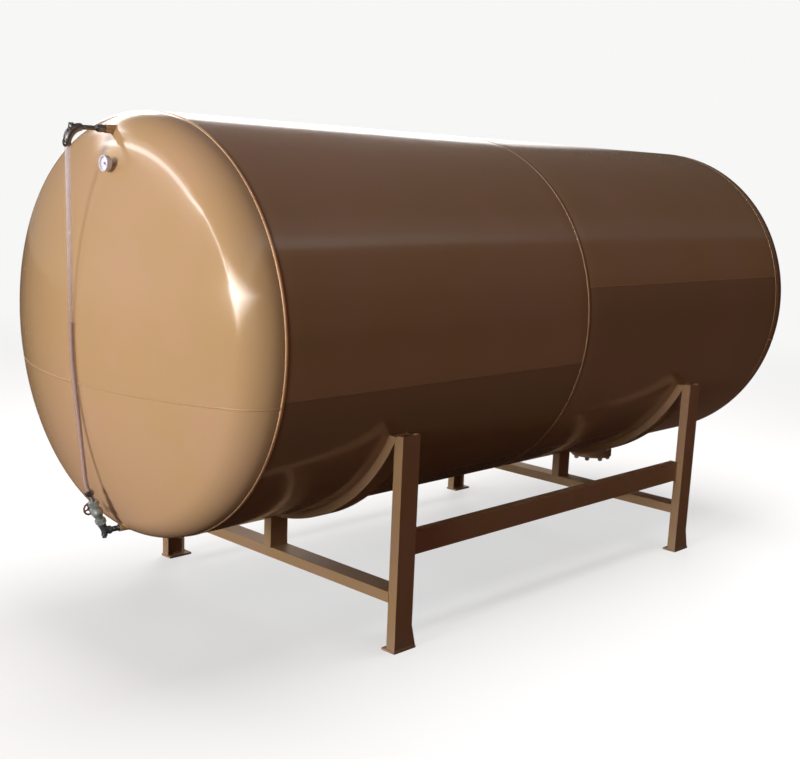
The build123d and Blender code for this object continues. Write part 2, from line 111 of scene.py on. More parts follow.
class StandSizes(bpy.types.PropertyGroup):
    edge: length("Rounded edge", "Radius of the steel's worn edges", 0.0015, 0.0005, 0.003)
    fillet: length("Fillet weld", "Width of the fillet welds on the stand", 0.009, 0.003, 0.015)


class GaugeSizes(bpy.types.PropertyGroup):
    bore: length("Bore", "Radius of the clear tube's bore", 0.0098, 0.005, 0.012)
    level: length("Level", "Height above the floor up to which the tube is filled", 1.62, 0.8, 2.3)
    reading: bpy.props.FloatProperty(
        name="Reading", description="Turn of the dial's needle from its zero",
        default=radians(258), min=0.0, max=radians(270), subtype="ANGLE")


class OutletSizes(bpy.types.PropertyGroup):
    bolt: length("Bolt radius", "Radius of the flange bolts", 0.01, 0.006, 0.0108)
    circle: length("Bolt circle", "Radius of the circle that the bolts stand on", 0.12, 0.11, 0.13)
    count: whole("Bolts", "Bolts round the flange", 8, 4, 12)


class TankColours(bpy.types.PropertyGroup):
    paint: tint("Paint", "Gloss paint of the tank and its stand", (0.44, 0.275, 0.13))
    faded: tint("Faded paint", "The paint where the weather has turned it pinker", (0.46, 0.28, 0.155))
    dust: tint("Dust", "Dust and dried splashes", (0.42, 0.34, 0.25))
    fitting: tint("Dark fittings", "Dark steel of the gauge's fittings", (0.035, 0.033, 0.034))
    valve: tint("Valve", "Grey metal of the lower valve", (0.33, 0.36, 0.33))
    wheel: tint("Wheel", "Red paint of the valve's wheel", (0.12, 0.012, 0.02))


class StudioLight(bpy.types.PropertyGroup):
    key: strength("Key light", "Strength of the low light before the gauge end", 3.52)
    side: strength("Side light", "Strength of the broad light before the gauge end's far side", 1.1)
    near: strength(
        "Near light", "Strength of the soft light on the near side of the gauge end and its fittings", 0.85)
    stand: strength("Stand's share", "Share of the key light that reaches the stand", 0.45, 1.0)
    rear: strength("Rear light", "Strength of the soft light behind the tank's far side", 2.0)
    sky: strength("Far glow", "Brightness of the low glow behind the tank, seen only in its gloss",
                  2.6, 10.0)
    band: strength("Band", "Brightness of the long strip light, seen only in the gloss", 12.0, 60.0)
    glow: strength("Lamp", "Brightness of the round lamp, seen only in the gloss", 22.0, 90.0)
    fill: tint("Fill", "Colour of the dim light from all round", (0.106, 0.051, 0.047))
    floor: strength("Floor light", "Power of the soft light that falls on the floor alone", 1450.0, 5000.0)
    floor_glow: strength("Floor paleness", "Share of the floor that takes the backdrop's own colour",
                         0.62, 1.0)
    backdrop: tint("Backdrop", "Colour of the plain backdrop", (0.93, 0.93, 0.925))


GROUPS = {
    "tank_sizes": TankSizes,
    "tank_stand": StandSizes,
    "tank_gauge": GaugeSizes,
    "tank_outlet": OutletSizes,
    "tank_colours": TankColours,
    "tank_light": StudioLight,
}


# Node trees

NUMBER, WHOLE, COLOUR, VECTOR, SHAPE, FINISH = [
    "NodeSocket" + kind for kind in ("Float", "Int", "Color", "Vector", "Geometry", "Material")]
GREY = (0.5, 0.5, 0.5)


class Flow:
    """What comes out of a node. Arithmetic on it adds math nodes to its tree."""

    def __init__(self, tree, socket):
        self.tree = tree
        self.socket = socket

    def __add__(self, other):
        return maths("ADD", self, other)

    def __sub__(self, other):
        return maths("SUBTRACT", self, other)

    def __rsub__(self, other):
        return maths("SUBTRACT", other, self)

    def __mul__(self, other):
        return maths("MULTIPLY", self, other)

    def __truediv__(self, other):
        return maths("DIVIDE", self, other)

    def __neg__(self):
        return self * -1.0


class Step:
    """A node with its settings and inputs, whose outputs are read by name or number."""

    def __init__(self, tree, kind, settings=None, **values):
        self.tree = tree
        self.node = tree.nodes.new(kind)
        for key, value in (settings or {}).items():
            setattr(self.node, key, value)
        self.put(**values)

    def put(self, **values):
        """Gives inputs a value or a link. Fill_Caps is the input Fill Caps, and i2 is input 2."""
        for key, value in values.items():
            by_number = key[0] == "i" and key[1:].isdigit()
            socket = self.node.inputs[int(key[1:]) if by_number else key.replace("_", " ")]
            if isinstance(value, Flow):
                self.tree.links.new(value.socket, socket)
            else:
                socket.default_value = (*value, 1.0) if socket.type == "RGBA" else value

    def __getitem__(self, key):
        return Flow(self.tree, self.node.outputs[key])


def maths(operation, a, b=0.0, clamp=False):
    """A math node on two values, at least one of which comes out of a node."""
    tree = next(value.tree for value in (a, b) if isinstance(value, Flow))
    return Step(tree, "ShaderNodeMath", {"operation": operation, "use_clamp": clamp}, i0=a, i1=b)[0]


def between(value, low, high):
    """A smooth 0 to 1 as a value goes from low to high."""
    return Step(value.tree, "ShaderNodeMapRange", {"interpolation_type": "SMOOTHSTEP"},
                Value=value, From_Min=low, From_Max=high)[0]


def window(value, low, high, soft):
    """1 where a value lies between low and high, falling softly to 0 outside."""
    return between(value, low - soft, low + soft) - between(value, high - soft, high + soft)


def blend(factor, first, second):
    return Step(factor.tree, "ShaderNodeMix", {"data_type": "RGBA"}, Factor=factor, i6=first, i7=second)[2]


def noise_at(place, scale, detail=2.0, rough=0.5):
    grain = Step(place.tree, "ShaderNodeTexNoise", Vector=place, Scale=scale, Detail=detail, Roughness=rough)
    return grain["Fac"]


def place_in(tree):
    """The place on the object's own axes."""
    return Step(tree, "ShaderNodeTexCoord")["Object"]


def axis_of(vector, axis):
    return Step(vector.tree, "ShaderNodeSeparateXYZ", Vector=vector)[axis]


def by_ray(tree, kind, others, kept):
    """One shader for a kind of ray and another for all others."""
    ray = Step(tree, "ShaderNodeLightPath")[kind]
    return Step(tree, "ShaderNodeMixShader", Fac=ray, i1=others, i2=kept)[0]


def shared_group(kind, inputs, outputs):
    """Makes a function that draws nodes into one that gives their group, drawn once and named for it."""
    def wrap(draw):
        def group():
            name = draw.__name__
            if name in bpy.data.node_groups:
                return bpy.data.node_groups[name]
            tree = bpy.data.node_groups.new(name, kind)
            for label, socket_kind, value in inputs:
                socket = tree.interface.new_socket(label, in_out="INPUT", socket_type=socket_kind)
                if value is not None:
                    socket.default_value = (*value, 1.0) if socket_kind == COLOUR else value
            for label, socket_kind in outputs:
                tree.interface.new_socket(label, in_out="OUTPUT", socket_type=socket_kind)
            draw(tree, Step(tree, "NodeGroupInput"), Step(tree, "NodeGroupOutput"))
            return tree
        return group
    return wrap


def use_group(tree, group, **values):
    return Step(tree, "ShaderNodeGroup", {"node_tree": group}, **values)


# Finishes

@shared_group("ShaderNodeTree", [
    ("Paint", COLOUR, GREY), ("Faded", COLOUR, GREY), ("Dust", COLOUR, GREY), ("Patch Scale", NUMBER, 1.6),
    ("Streaks", NUMBER, 0.3), ("Dust Amount", NUMBER, 0.5), ("Splash Height", NUMBER, 0.3),
], [("Color", COLOUR), ("Dust", NUMBER)])
def weathering(tree, coat, sink):
    """Tone of weathered gloss paint: faded patches, rain streaks, dust on top and splashes low down."""
    place = place_in(tree)
    patches = noise_at(place, coat["Patch Scale"], 3.0, 0.55)
    colour = blend(between(patches, 0.38, 0.66), coat["Paint"], coat["Faded"])
    stretched = Step(tree, "ShaderNodeMapping", Vector=place, Scale=(16.0, 16.0, 0.9))[0]
    streak = between(noise_at(stretched, 1.0, 3.0, 0.6), 0.5, 0.78) * coat["Streaks"]
    colour = blend(streak, colour, coat["Dust"])
    faces_up = between(axis_of(Step(tree, "ShaderNodeNewGeometry")["Normal"], "Z"), 0.55, 1.0)
    speckle = between(noise_at(place, 9.0, 6.0, 0.7), 0.35, 0.75)
    splash = noise_at(place, 14.0, 4.0) * coat["Splash Height"] - axis_of(place, "Z")
    dust = maths("MAXIMUM", faces_up * speckle * 0.7, between(splash, -0.06, 0.12))
    dust = maths("MULTIPLY", dust, coat["Dust Amount"], clamp=True)
    sink.put(Color=blend(dust, colour, coat["Dust"]), Dust=dust)


@shared_group("ShaderNodeTree", [
    ("Peel Scale", NUMBER, 260.0), ("Peel", NUMBER, 0.03),
    ("Wave Scale", NUMBER, 3.0), ("Wave", NUMBER, 0.1),
], [("Normal", VECTOR)])
def orange_peel(tree, coat, sink):
    """Normal of sprayed paint: a fine orange peel over broad, shallow waves."""
    place = place_in(tree)
    broad = Step(tree, "ShaderNodeBump", Distance=0.02, Strength=coat["Wave"],
                 Height=noise_at(place, coat["Wave Scale"], 1.0))[0]
    fine = Step(tree, "ShaderNodeBump", Distance=0.001, Strength=coat["Peel"],
                Height=noise_at(place, coat["Peel Scale"], 2.0), Normal=broad)[0]
    sink.put(Normal=fine)


@shared_group("ShaderNodeTree", [
    ("Metal", COLOUR, GREY), ("Stain", COLOUR, (0.1, 0.06, 0.03)), ("Stains", NUMBER, 0.3),
    ("Grain Scale", NUMBER, 500.0), ("Roughness", NUMBER, 0.4),
], [("Color", COLOUR), ("Roughness", NUMBER), ("Normal", VECTOR)])
def metal_grain(tree, metal, sink):
    """Tone, roughness and normal of cast or turned metal: mottling, fine grain and stains."""
    place = place_in(tree)
    stain = between(noise_at(place, 60.0, 4.0, 0.6), 0.5, 0.7) * metal["Stains"]
    grain = noise_at(place, metal["Grain Scale"], 2.0)
    rough = maths("ADD", metal["Roughness"] + stain * 0.35, (grain - 0.5) * 0.15, clamp=True)
    bump = Step(tree, "ShaderNodeBump", Distance=0.0004, Strength=0.25, Height=grain)[0]
    sink.put(Color=blend(stain, metal["Metal"], metal["Stain"]), Roughness=rough, Normal=bump)


def new_material(name):
    """An empty node material with its Principled shader."""
    material = bpy.data.materials.new(name)
    material.use_nodes = True
    tree = material.node_tree
    tree.nodes.clear()
    shader = Step(tree, "ShaderNodeBsdfPrincipled")
    Step(tree, "ShaderNodeOutputMaterial", Surface=shader[0])
    return material, tree, shader


def seam_tone(tree, turn, step):
    """Painted light about a lengthwise seam: a painted highlight above it and painted shade below it, for
    the plates' peaking there.
    """
    place = place_in(tree)
    below = maths("ARCTAN2", AXIS_Z - axis_of(place, "Z"), -axis_of(place, "Y")) - (turn - pi)
    # The band below the seam is painted shade, and the band above it a painted highlight.
    foot = between(below, -0.003, 0.004) * between(below, 1.1, 0.1)
    head = between(below, 0.004, -0.003) * between(below, -0.3, -0.02)
    return head * (step * 0.36) + foot * -step


def tank_paint(name="tank_paint", patch=1.1, streaks=0.06, dust=0.25, splash=0.25, gloss=0.17, coat=0.5,
               highlight_lift=1.0, seam=None):
    """Tan gloss paint, weathered in its own way on the shell and on the stand; where a seam is given,
    painted shade below the lengthwise seam and a painted highlight above it.
    """
    if name in bpy.data.materials:
        return bpy.data.materials[name]
    colours = bpy.context.scene.tank_colours
    material, tree, shader = new_material(name)
    # A lift above 1 makes the paint paler: a painted highlight.
    paint, faded = [[min(1.0, part * highlight_lift) for part in tone] for tone in (colours.paint, colours.faded)]
    tone = use_group(tree, weathering(), Paint=paint, Faded=faded, Dust=colours.dust, Patch_Scale=patch,
                     Streaks=streaks, Dust_Amount=dust, Splash_Height=splash)
    colour = tone["Color"]
    # Painted shade below the lengthwise seam and a painted highlight above it.
    if seam is not None:
        colour = Step(tree, "ShaderNodeVectorMath", {"operation": "SCALE"}, i0=colour,
                      Scale=seam_tone(tree, *seam) + 1.0)[0]
    sheen = noise_at(place_in(tree), 3.5, 4.0) * 0.12 + (gloss - 0.05)
    shader.put(Base_Color=colour, Roughness=maths("ADD", sheen, tone["Dust"] * 0.4, clamp=True),
               Normal=use_group(tree, orange_peel(), Wave=0.05)["Normal"],
               IOR=1.5, Coat_Weight=coat, Coat_Roughness=0.04)
    return material


def stand_paint():
    return tank_paint("stand_paint", patch=3.0, streaks=0.2, dust=0.3, splash=0.2, gloss=0.5, coat=0.0)


def bright_bead():
    """Paint of the front seam's bead, lifted paler than the plates as a painted highlight for the light the
    bead catches.
    """
    return tank_paint("end_bead_highlight_paint", patch=6.0, streaks=0.3, dust=0.2, splash=0.2, gloss=0.3, coat=0.2,
                      highlight_lift=2.1)


def painted_bead():
    return tank_paint("bead_paint", patch=6.0, streaks=0.3, dust=0.5, splash=0.2, gloss=0.3, coat=0.2)


def grained(name):
    """A finish with mottling, grain and stains: bare or painted metal, rubber, ink or enamel."""
    if name in bpy.data.materials:
        return bpy.data.materials[name]
    colours = bpy.context.scene.tank_colours
    plain = {"Stain": (0.06, 0.035, 0.02), "Stains": 0.4, "Roughness": 0.4,
             "Grain_Scale": 500.0, "Metallic": 1.0}
    own = {
        "dark_steel": {"Metal": colours.fitting, "Stain": (0.09, 0.05, 0.03),
                       "Roughness": 0.45, "Metallic": 0.6},
        "valve_metal": {"Metal": colours.valve, "Stain": (0.09, 0.1, 0.09),
                        "Roughness": 0.36, "Metallic": 0.45},
        "dark_casting": {"Metal": (0.085, 0.105, 0.115), "Stain": (0.22, 0.24, 0.22), "Stains": 0.7,
                         "Roughness": 0.33, "Metallic": 0.45},
        "bright_metal": {"Metal": (0.42, 0.41, 0.42), "Roughness": 0.3},
        "galvanised_bolts": {"Metal": (0.4, 0.41, 0.42), "Stain": (0.16, 0.09, 0.05), "Roughness": 0.45},
        "wheel_paint": {"Metal": colours.wheel, "Stain": (0.05, 0.03, 0.03),
                        "Stains": 0.6, "Roughness": 0.35, "Metallic": 0.0},
        "gasket_rubber": {"Metal": (0.02, 0.02, 0.02), "Stain": (0.06, 0.05, 0.045), "Roughness": 0.75,
                          "Metallic": 0.0},
        "dial_ink": {"Metal": (0.035, 0.03, 0.13), "Stain": (0.06, 0.05, 0.12), "Roughness": 0.5,
                     "Grain_Scale": 900.0, "Metallic": 0.0},
        "dial_enamel": {"Metal": (0.74, 0.7, 0.76), "Stain": (0.45, 0.4, 0.4),
                        "Stains": 0.3, "Roughness": 0.3, "Metallic": 0.0},
    }[name]
    values = {**plain, **own}
    metallic = values.pop("Metallic")
    material, tree, shader = new_material(name)
    skin = use_group(tree, metal_grain(), **values)
    shader.put(Base_Color=skin["Color"], Roughness=skin["Roughness"], Normal=skin["Normal"],
               Metallic=metallic)
    return material


# Meshes

def shown(name, mesh, material, slot, *replaced):
    """Puts a finished mesh in the scene and gives it to the frame."""
    piece = bpy.data.objects.new(name, mesh)
    bpy.context.scene.collection.objects.link(piece)
    paint_mesh(mesh, material)
    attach(piece, "root")
    if replaced:
        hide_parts(*replaced)


def paint_mesh(mesh, material):
    mesh.materials.clear()
    mesh.materials.append(material)


def mesh_of(bm, name, sharp=35):
    """Turns a bmesh into a mesh, smooth but for the edges that are sharper than an angle in degrees."""
    bmesh.ops.recalc_face_normals(bm, faces=bm.faces)
    mesh = bpy.data.meshes.new(name)
    bm.to_mesh(mesh)
    bm.free()
    mesh.shade_smooth()
    mesh.set_sharp_from_angle(angle=radians(sharp))
    return mesh


def middle_of(node):
    low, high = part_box(node)
    return [(a + b) / 2 for a, b in zip(low, high)]


def circle(count):
    """Cosine and sine of each point round a circle."""
    return [(cos(2 * pi * i / count), sin(2 * pi * i / count)) for i in range(count)]


def loop(count):
    """The points of a circle, ending where it starts."""
    return circle(count) + circle(count)[:1]


def axes_across(axis):
    """An axis as a unit vector, and two more square to it."""
    along = Vector(axis).normalized()
    side = along.orthogonal().normalized()
    return along, side, along.cross(side)


def ring(bm, centre, side, other, radius, around):
    return [bm.verts.new(centre + (side * c + other * s) * radius) for c, s in circle(around)]


def bridge(bm, a, b):
    """Faces between two rings of as many corners."""
    for i in range(len(a)):
        j = (i + 1) % len(a)
        bm.faces.new((a[i], a[j], b[j], b[i]))


def skin_over(bm, rows):
    """Faces from each ring to the next."""
    for a, b in zip(rows, rows[1:]):
        bridge(bm, a, b)


def dent_at(place, depth, size=1.7):
    """Depth of the plate's shallow unevenness at a place, never below 0."""
    wave = noise.noise(Vector((place[0] * size * 0.6, place[1] * size, place[2] * size)))
    return depth * (0.5 + 0.5 * max(-1.0, min(1.0, wave)))


def seam_dip(distance, sizes):
    return sizes.seam_dip * exp(-(distance / sizes.seam_spread) ** 2)


# How far the rings beside a round seam lie from it, and how many lengths the plate between them has
SEAM_STATIONS = [0.0, 0.004, 0.012, 0.022, 0.034, 0.048, 0.066, 0.09, 0.12]
PLAIN_LENGTHS = 34


def course_mesh(name, start, end, sizes):
    """A rolled course as a closed tube, drawn in a little towards its round seams."""
    bm = bmesh.new()
    length, fine = end - start, SEAM_STATIONS[-1]
    stations = SEAM_STATIONS + [
        fine + (length - 2 * fine) * i / PLAIN_LENGTHS for i in range(1, PLAIN_LENGTHS)]
    stations += [length - d for d in reversed(SEAM_STATIONS)]
    rings = []
    for d in stations:
        row = []
        for y, z in circle(sizes.around):
            radius = PLATE_RADIUS - seam_dip(min(d, length - d), sizes)
            radius -= dent_at((start + d, y, z), sizes.dent)
            row.append(bm.verts.new((start + d, radius * y, AXIS_Z + radius * z)))
        rings.append(row)
    inner = TANK_RADIUS - SHELL_WALL
    for d in (length, 0.0):
        rings.append([bm.verts.new((start + d, inner * y, AXIS_Z + inner * z))
                      for y, z in circle(sizes.around)])
    skin_over(bm, rings + rings[:1])
    return mesh_of(bm, name)


def dish_shape(radius, crown, knuckle):
    """Centre of a dish's crown beyond the seam, and the angle at which it runs into the knuckle."""
    depth = crown - sqrt((crown - knuckle) ** 2 - (radius - knuckle) ** 2)
    centre = END_FLANGE + depth - crown
    return centre, atan2(radius - knuckle, END_FLANGE - centre)


def dish_line(thickness, radius, crown_steps, knuckle_steps):
    """The dish from its apex to its straight flange: distance beyond the seam, and radius."""
    crown, knuckle = CROWN_RADIUS - thickness, KNUCKLE_RADIUS - thickness
    centre, turn = dish_shape(radius, crown, knuckle)
    line = [(centre + crown * cos(turn * i / crown_steps), crown * sin(turn * i / crown_steps))
            for i in range(crown_steps + 1)]
    for i in range(1, knuckle_steps + 1):
        angle = turn + (pi / 2 - turn) * i / knuckle_steps
        line.append((END_FLANGE + knuckle * cos(angle), radius - knuckle + knuckle * sin(angle)))
    return line + [(END_FLANGE / 2, radius), (0.003, radius), (0.0, radius)]


def end_dent(x, y, z, sizes):
    """The plate's unevenness on an end, from a part of the pattern that the shell doesn't use."""
    return dent_at((x, y + 3.0, z), sizes.dent, 2.2)


def end_mesh(name, seam, way, upper, sizes):
    """The upper or lower plate of a dished end, cut from the whole end at the level weld."""
    bm = bmesh.new()
    outer = dish_line(0.0, PLATE_RADIUS, 44, 24)
    inner = dish_line(SHELL_WALL, TANK_RADIUS - SHELL_WALL, 20, 12)
    skins = []
    for line, uneven in ((outer, True), (inner, False)):
        rings = []
        for beyond, across in line[1:]:
            row = []
            for c, s in circle(sizes.around):
                x, y, z = beyond, across * c, across * s
                if uneven:
                    dip = end_dent(x, y, z, sizes)
                    dip += seam_dip(beyond, sizes) * (1.0 if beyond < 0.05 else 0.0)
                    dip += seam_dip(AXIS_Z + z - CHORD_Z, sizes)
                    lean = min(1.0, across / TANK_RADIUS) ** 3 if beyond > END_FLANGE else 1.0
                    y -= dip * lean * c
                    z -= dip * lean * s
                    x = max(0.0, x - dip * (1 - lean))
                row.append(bm.verts.new((seam + way * x, y, AXIS_Z + z)))
            rings.append(row)
        apex = line[0][0]
        if uneven:
            apex -= end_dent(apex, 0.0, 0.0, sizes)
        tip = bm.verts.new((seam + way * apex, 0.0, AXIS_Z))
        for i in range(sizes.around):
            j = (i + 1) % sizes.around
            bm.faces.new((tip, rings[0][i], rings[0][j]))
            for a, b in zip(rings, rings[1:]):
                bm.faces.new((a[i], b[i], b[j], a[j]))
        skins.append(rings[-1])
    for i in range(sizes.around):
        j = (i + 1) % sizes.around
        bm.faces.new((skins[0][i], skins[1][i], skins[1][j], skins[0][j]))
    everything = bm.verts[:] + bm.edges[:] + bm.faces[:]
    cut = bmesh.ops.bisect_plane(bm, geom=everything, plane_co=(0, 0, CHORD_Z), plane_no=(0, 0, 1),
                                 clear_inner=upper, clear_outer=not upper)
    rim = [e for e in cut["geom_cut"] if isinstance(e, bmesh.types.BMEdge)]
    bmesh.ops.triangle_fill(bm, use_beauty=False, use_dissolve=False, edges=rim, normal=(0, 0, 1))
    bmesh.ops.remove_doubles(bm, verts=bm.verts[:], dist=1e-6)
    return mesh_of(bm, name, 40)


def soft_edges(node, edge):
    """A copy of a solid's mesh with its doubles merged, its flats made whole and its edges rounded."""
    bm = bmesh.new()
    bm.from_mesh(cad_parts[node].data)
    bmesh.ops.remove_doubles(bm, verts=bm.verts[:], dist=1e-6)
    bmesh.ops.dissolve_limit(bm, angle_limit=radians(0.6), verts=bm.verts[:], edges=bm.edges[:])
    sharp = [e for e in bm.edges if len(e.link_faces) == 2 and e.calc_face_angle(0.0) > radians(40)]
    bmesh.ops.bevel(bm, geom=sharp, offset=edge, offset_type="OFFSET", segments=2, profile=0.6,
                    affect="EDGES", clamp_overlap=True)
    bmesh.ops.remove_doubles(bm, verts=bm.verts[:], dist=1e-6)
    return mesh_of(bm, node, 25)


def rod(bm, centre, axis, line, around=24):
    """A turned bar from (along, radius) pairs, with flat ends."""
    along, side, other = axes_across(axis)
    rows = [ring(bm, Vector(centre) + along * distance, side, other, radius, around)
            for distance, radius in line]
    skin_over(bm, rows)
    bm.faces.new(list(reversed(rows[0])))
    bm.faces.new(rows[-1])


HEX_CORNERS = 36


def hex_prism(bm, centre, axis, flats, low, high, chamfer):
    """A hexagon head along an axis, its corners turned off at both faces."""
    along = Vector(axis).normalized()
    side = Vector((0, 1, 0)) if abs(along.y) < 0.9 else Vector((1, 0, 0))
    side = (side - along * side.dot(along)).normalized()
    other = along.cross(side)
    corner = flats / sqrt(3)
    rows = []
    levels = ((low, chamfer, 0), (low, 0, chamfer / 2), (high, 0, -chamfer / 2), (high, chamfer, 0))
    for level, inset, drop in levels:
        row = []
        for i in range(HEX_CORNERS):
            turn = 2 * pi * i / HEX_CORNERS
            flat = corner * cos(pi / 6) / cos(turn % (pi / 3) - pi / 6)
            radius = min(flat, corner - inset) if inset else flat
            rise = drop * max(0.0, (flat - corner * 0.9) / (corner * 0.1)) ** 1.5 if drop else 0.0
            point = Vector(centre) + along * (level + rise) + (side * cos(turn) + other * sin(turn)) * radius
            row.append(bm.verts.new(point))
        rows.append(row)
    skin_over(bm, rows)
    bm.faces.new(list(reversed(rows[0])))
    bm.faces.new(rows[-1])


def swept(bm, line, radius, around=28, bore=None):
    """A round bar, or a tube where it has a bore, along a line in the plane y = 0."""
    skins = []
    for size in (radius, bore):
        if size is None:
            continue
        rings = []
        for i, point in enumerate(line):
            along = (line[min(i + 1, len(line) - 1)] - line[max(i - 1, 0)]).normalized()
            width = size[i] if isinstance(size, list) else size
            rings.append(ring(bm, point, SIDEWAYS, along.cross(SIDEWAYS), width, around))
        skin_over(bm, rings)
        skins.append(rings)
    for last in (0, -1):
        if bore is None:
            bm.faces.new(skins[0][last])
        else:
            bridge(bm, skins[0][last], skins[1][last])


def through_nodes(name, mesh, group, values):
    """Runs a mesh through a geometry node tree and returns the plain mesh that comes out."""
    maker = bpy.data.objects.new(name + "_path", mesh)
    bpy.context.scene.collection.objects.link(maker)
    modifier = maker.modifiers.new("maker", "NODES")
    modifier.node_group = group
    for item in group.interface.items_tree:
        if item.in_out == "INPUT" and item.name in values:
            modifier[item.identifier] = values[item.name]
    result = plain_mesh(maker)
    result.name = name
    return result


def plain_mesh(maker):
    """The evaluated mesh of an object, which is then removed."""
    ready = maker.evaluated_get(bpy.context.evaluated_depsgraph_get())
    result = bpy.data.meshes.new_from_object(ready)
    bpy.data.objects.remove(maker)
    return result


def real_pieces(shape, material):
    """The end of a geometry tree: instances made real, and their material."""
    real = Step(shape.tree, "GeometryNodeRealizeInstances", Geometry=shape)[0]
    return Step(shape.tree, "GeometryNodeSetMaterial", Geometry=real, Material=material)[0]


# Welds

@shared_group("GeometryNodeTree", [
    ("Geometry", SHAPE, None), ("Width", NUMBER, 0.012), ("Height", NUMBER, 0.002),
    ("Ripple", NUMBER, 0.006),
    ("Unevenness", NUMBER, 0.12), ("Seed", WHOLE, 7), ("Material", FINISH, None),
], [("Geometry", SHAPE)])
def weld_bead(tree, bead, sink):
    """A rippled weld bead along the edges of a path mesh."""
    curve = Step(tree, "GeometryNodeMeshToCurve", Mesh=bead["Geometry"])[0]
    half = bead["Ripple"] * 0.5
    curve = Step(tree, "GeometryNodeResampleCurve", {"mode": "LENGTH"}, Curve=curve, Length=half)[0]
    outward = Step(tree, "GeometryNodeInputNamedAttribute", {"data_type": "FLOAT_VECTOR"}, Name="outward")[0]
    curve = Step(tree, "GeometryNodeSetCurveNormal", {"mode": "FREE"}, Curve=curve, Normal=outward)[0]
    beat = maths("MODULO", Step(tree, "GeometryNodeSplineParameter")["Index"], 2.0)
    chance = Step(tree, "FunctionNodeRandomValue", {"data_type": "FLOAT"}, Seed=bead["Seed"],
                  i2=1.0 - bead["Unevenness"], i3=1.0)
    profile = Step(tree, "GeometryNodeCurvePrimitiveCircle", {"mode": "RADIUS"}, Resolution=8, Radius=1.0)[0]
    flattened = Step(tree, "ShaderNodeCombineXYZ", X=bead["Height"], Y=bead["Width"] * 0.5, Z=1.0)[0]
    profile = Step(tree, "GeometryNodeTransform", Geometry=profile, Scale=flattened)[0]
    bar = Step(tree, "GeometryNodeCurveToMesh", Curve=curve, Scale=chance[1] - beat * 0.14,
               Profile_Curve=profile, Fill_Caps=True)[0]
    smooth = Step(tree, "GeometryNodeSetShadeSmooth", Geometry=bar)[0]
    sink.put(Geometry=real_pieces(smooth, bead["Material"]))


def path_mesh(name, paths):
    """Edges along paths of (point, outward) pairs; a path that ends where it starts is closed."""
    mesh = bpy.data.meshes.new(name)
    points, edges, outward = [], [], []
    for path in paths:
        first = len(points)
        closed = (path[0][0] - path[-1][0]).length < 1e-6
        kept = path[:-1] if closed else path
        points += [p for p, n in kept]
        outward += [n for p, n in kept]
        edges += [(first + i, first + i + 1) for i in range(len(kept) - 1)]
        if closed:
            edges.append((first + len(kept) - 1, first))
    mesh.from_pydata(points, edges, [])
    attribute = mesh.attributes.new("outward", "FLOAT_VECTOR", "POINT")
    for i, n in enumerate(outward):
        attribute.data[i].vector = n
    return mesh


def weld(name, paths, material, width, height, slot, seed):
    """Weld beads along paths, as one piece."""
    mesh = through_nodes(name, path_mesh(name, paths), weld_bead(), {
        "Width": width, "Height": height, "Ripple": bpy.context.scene.tank_sizes.ripple, "Seed": seed,
        "Material": material,
    })
    shown(name, mesh, material, slot)


def straight(a, b, outward, steps=12):
    """A straight run of (point, outward) pairs."""
    a, b, outward = Vector(a), Vector(b), Vector(outward).normalized()
    return [(a.lerp(b, i / steps), outward) for i in range(steps + 1)]


def girth_path(x, sizes):
    """A round seam of the shell, on the dipped surface."""
    path = []
    for c, s in loop(256):
        out = Vector((0.0, c, s))
        radius = PLATE_RADIUS - sizes.seam_dip - dent_at((x, out.y, out.z), sizes.dent)
        path.append((Vector((x, 0, AXIS_Z)) + out * radius, out))
    return path


def crown_x(across):
    """Distance of the end's outer face beyond the seam, at a distance from the axis."""
    centre, tangent = dish_shape(PLATE_RADIUS, CROWN_RADIUS, KNUCKLE_RADIUS)
    if across <= CROWN_RADIUS * sin(tangent):
        return centre + sqrt(CROWN_RADIUS ** 2 - across ** 2)
    return END_FLANGE + sqrt(max(0.0, KNUCKLE_RADIUS ** 2 - (across - PLATE_RADIUS + KNUCKLE_RADIUS) ** 2))


CHORD_STEPS = 160
SLOPE_STEP = 0.0005
STEEP = 60.0


def chord_path(seam, way, sizes):
    """The level seam between an end's two plates, over the knuckles at both sides."""
    drop = CHORD_Z - AXIS_Z
    reach = sqrt(PLATE_RADIUS ** 2 - drop ** 2)
    path = []
    for i in range(CHORD_STEPS + 1):
        y = reach * sin(pi / 2 * (2 * i / CHORD_STEPS - 1))
        across = min(PLATE_RADIUS, hypot(y, drop))
        x = crown_x(across)
        near = crown_x(min(PLATE_RADIUS, across + SLOPE_STEP))
        slope = (x - near) / SLOPE_STEP if across < PLATE_RADIUS - 0.0006 else STEEP
        out = Vector((way, slope * y / across, slope * drop / across)).normalized()
        path.append((Vector((seam + way * x, y, CHORD_Z)) - out * sizes.seam_dip, out))
    return path


def ring_on_end(y, z, radius):
    """A round bar's foot on the gauge end, for the weld that holds it."""
    path = []
    for c, s in loop(48):
        side, rise = y + radius * c, z + radius * s
        x = FRONT_SEAM - crown_x(hypot(side, rise - AXIS_Z))
        path.append((Vector((x, side, rise)), Vector((-1.0, c, s)).normalized()))
    return path


# The shell

# The courses: name, first and last seam, turn of the lengthwise seam, and the strength of the painted shade
# below it (the painted highlight above it is a share of this)
COURSES = [
    ("front_course", FRONT_SEAM, MIDDLE_SEAM, radians(191.7), 0.26),
    ("rear_course", MIDDLE_SEAM, REAR_SEAM, radians(168), 0.19),
]

# The round welds: name, seam, paint, shares of the bead's width and height, and seed
ROUND_WELDS = [
    # The front bead's paint is lifted paler as a painted highlight.
    ("front_girth_weld", FRONT_SEAM, bright_bead, 1.3, 1.0, 3),
    ("rear_girth_weld", REAR_SEAM, painted_bead, 0.8, 0.45, 6),
    ("middle_girth_weld", MIDDLE_SEAM, painted_bead, 1.5, 0.6, 4),
]

# A lengthwise bead stops this far short of the round ones, and lies this deep in the plates
BEAD_STOP = 0.008
BEAD_SUNK = 0.0006


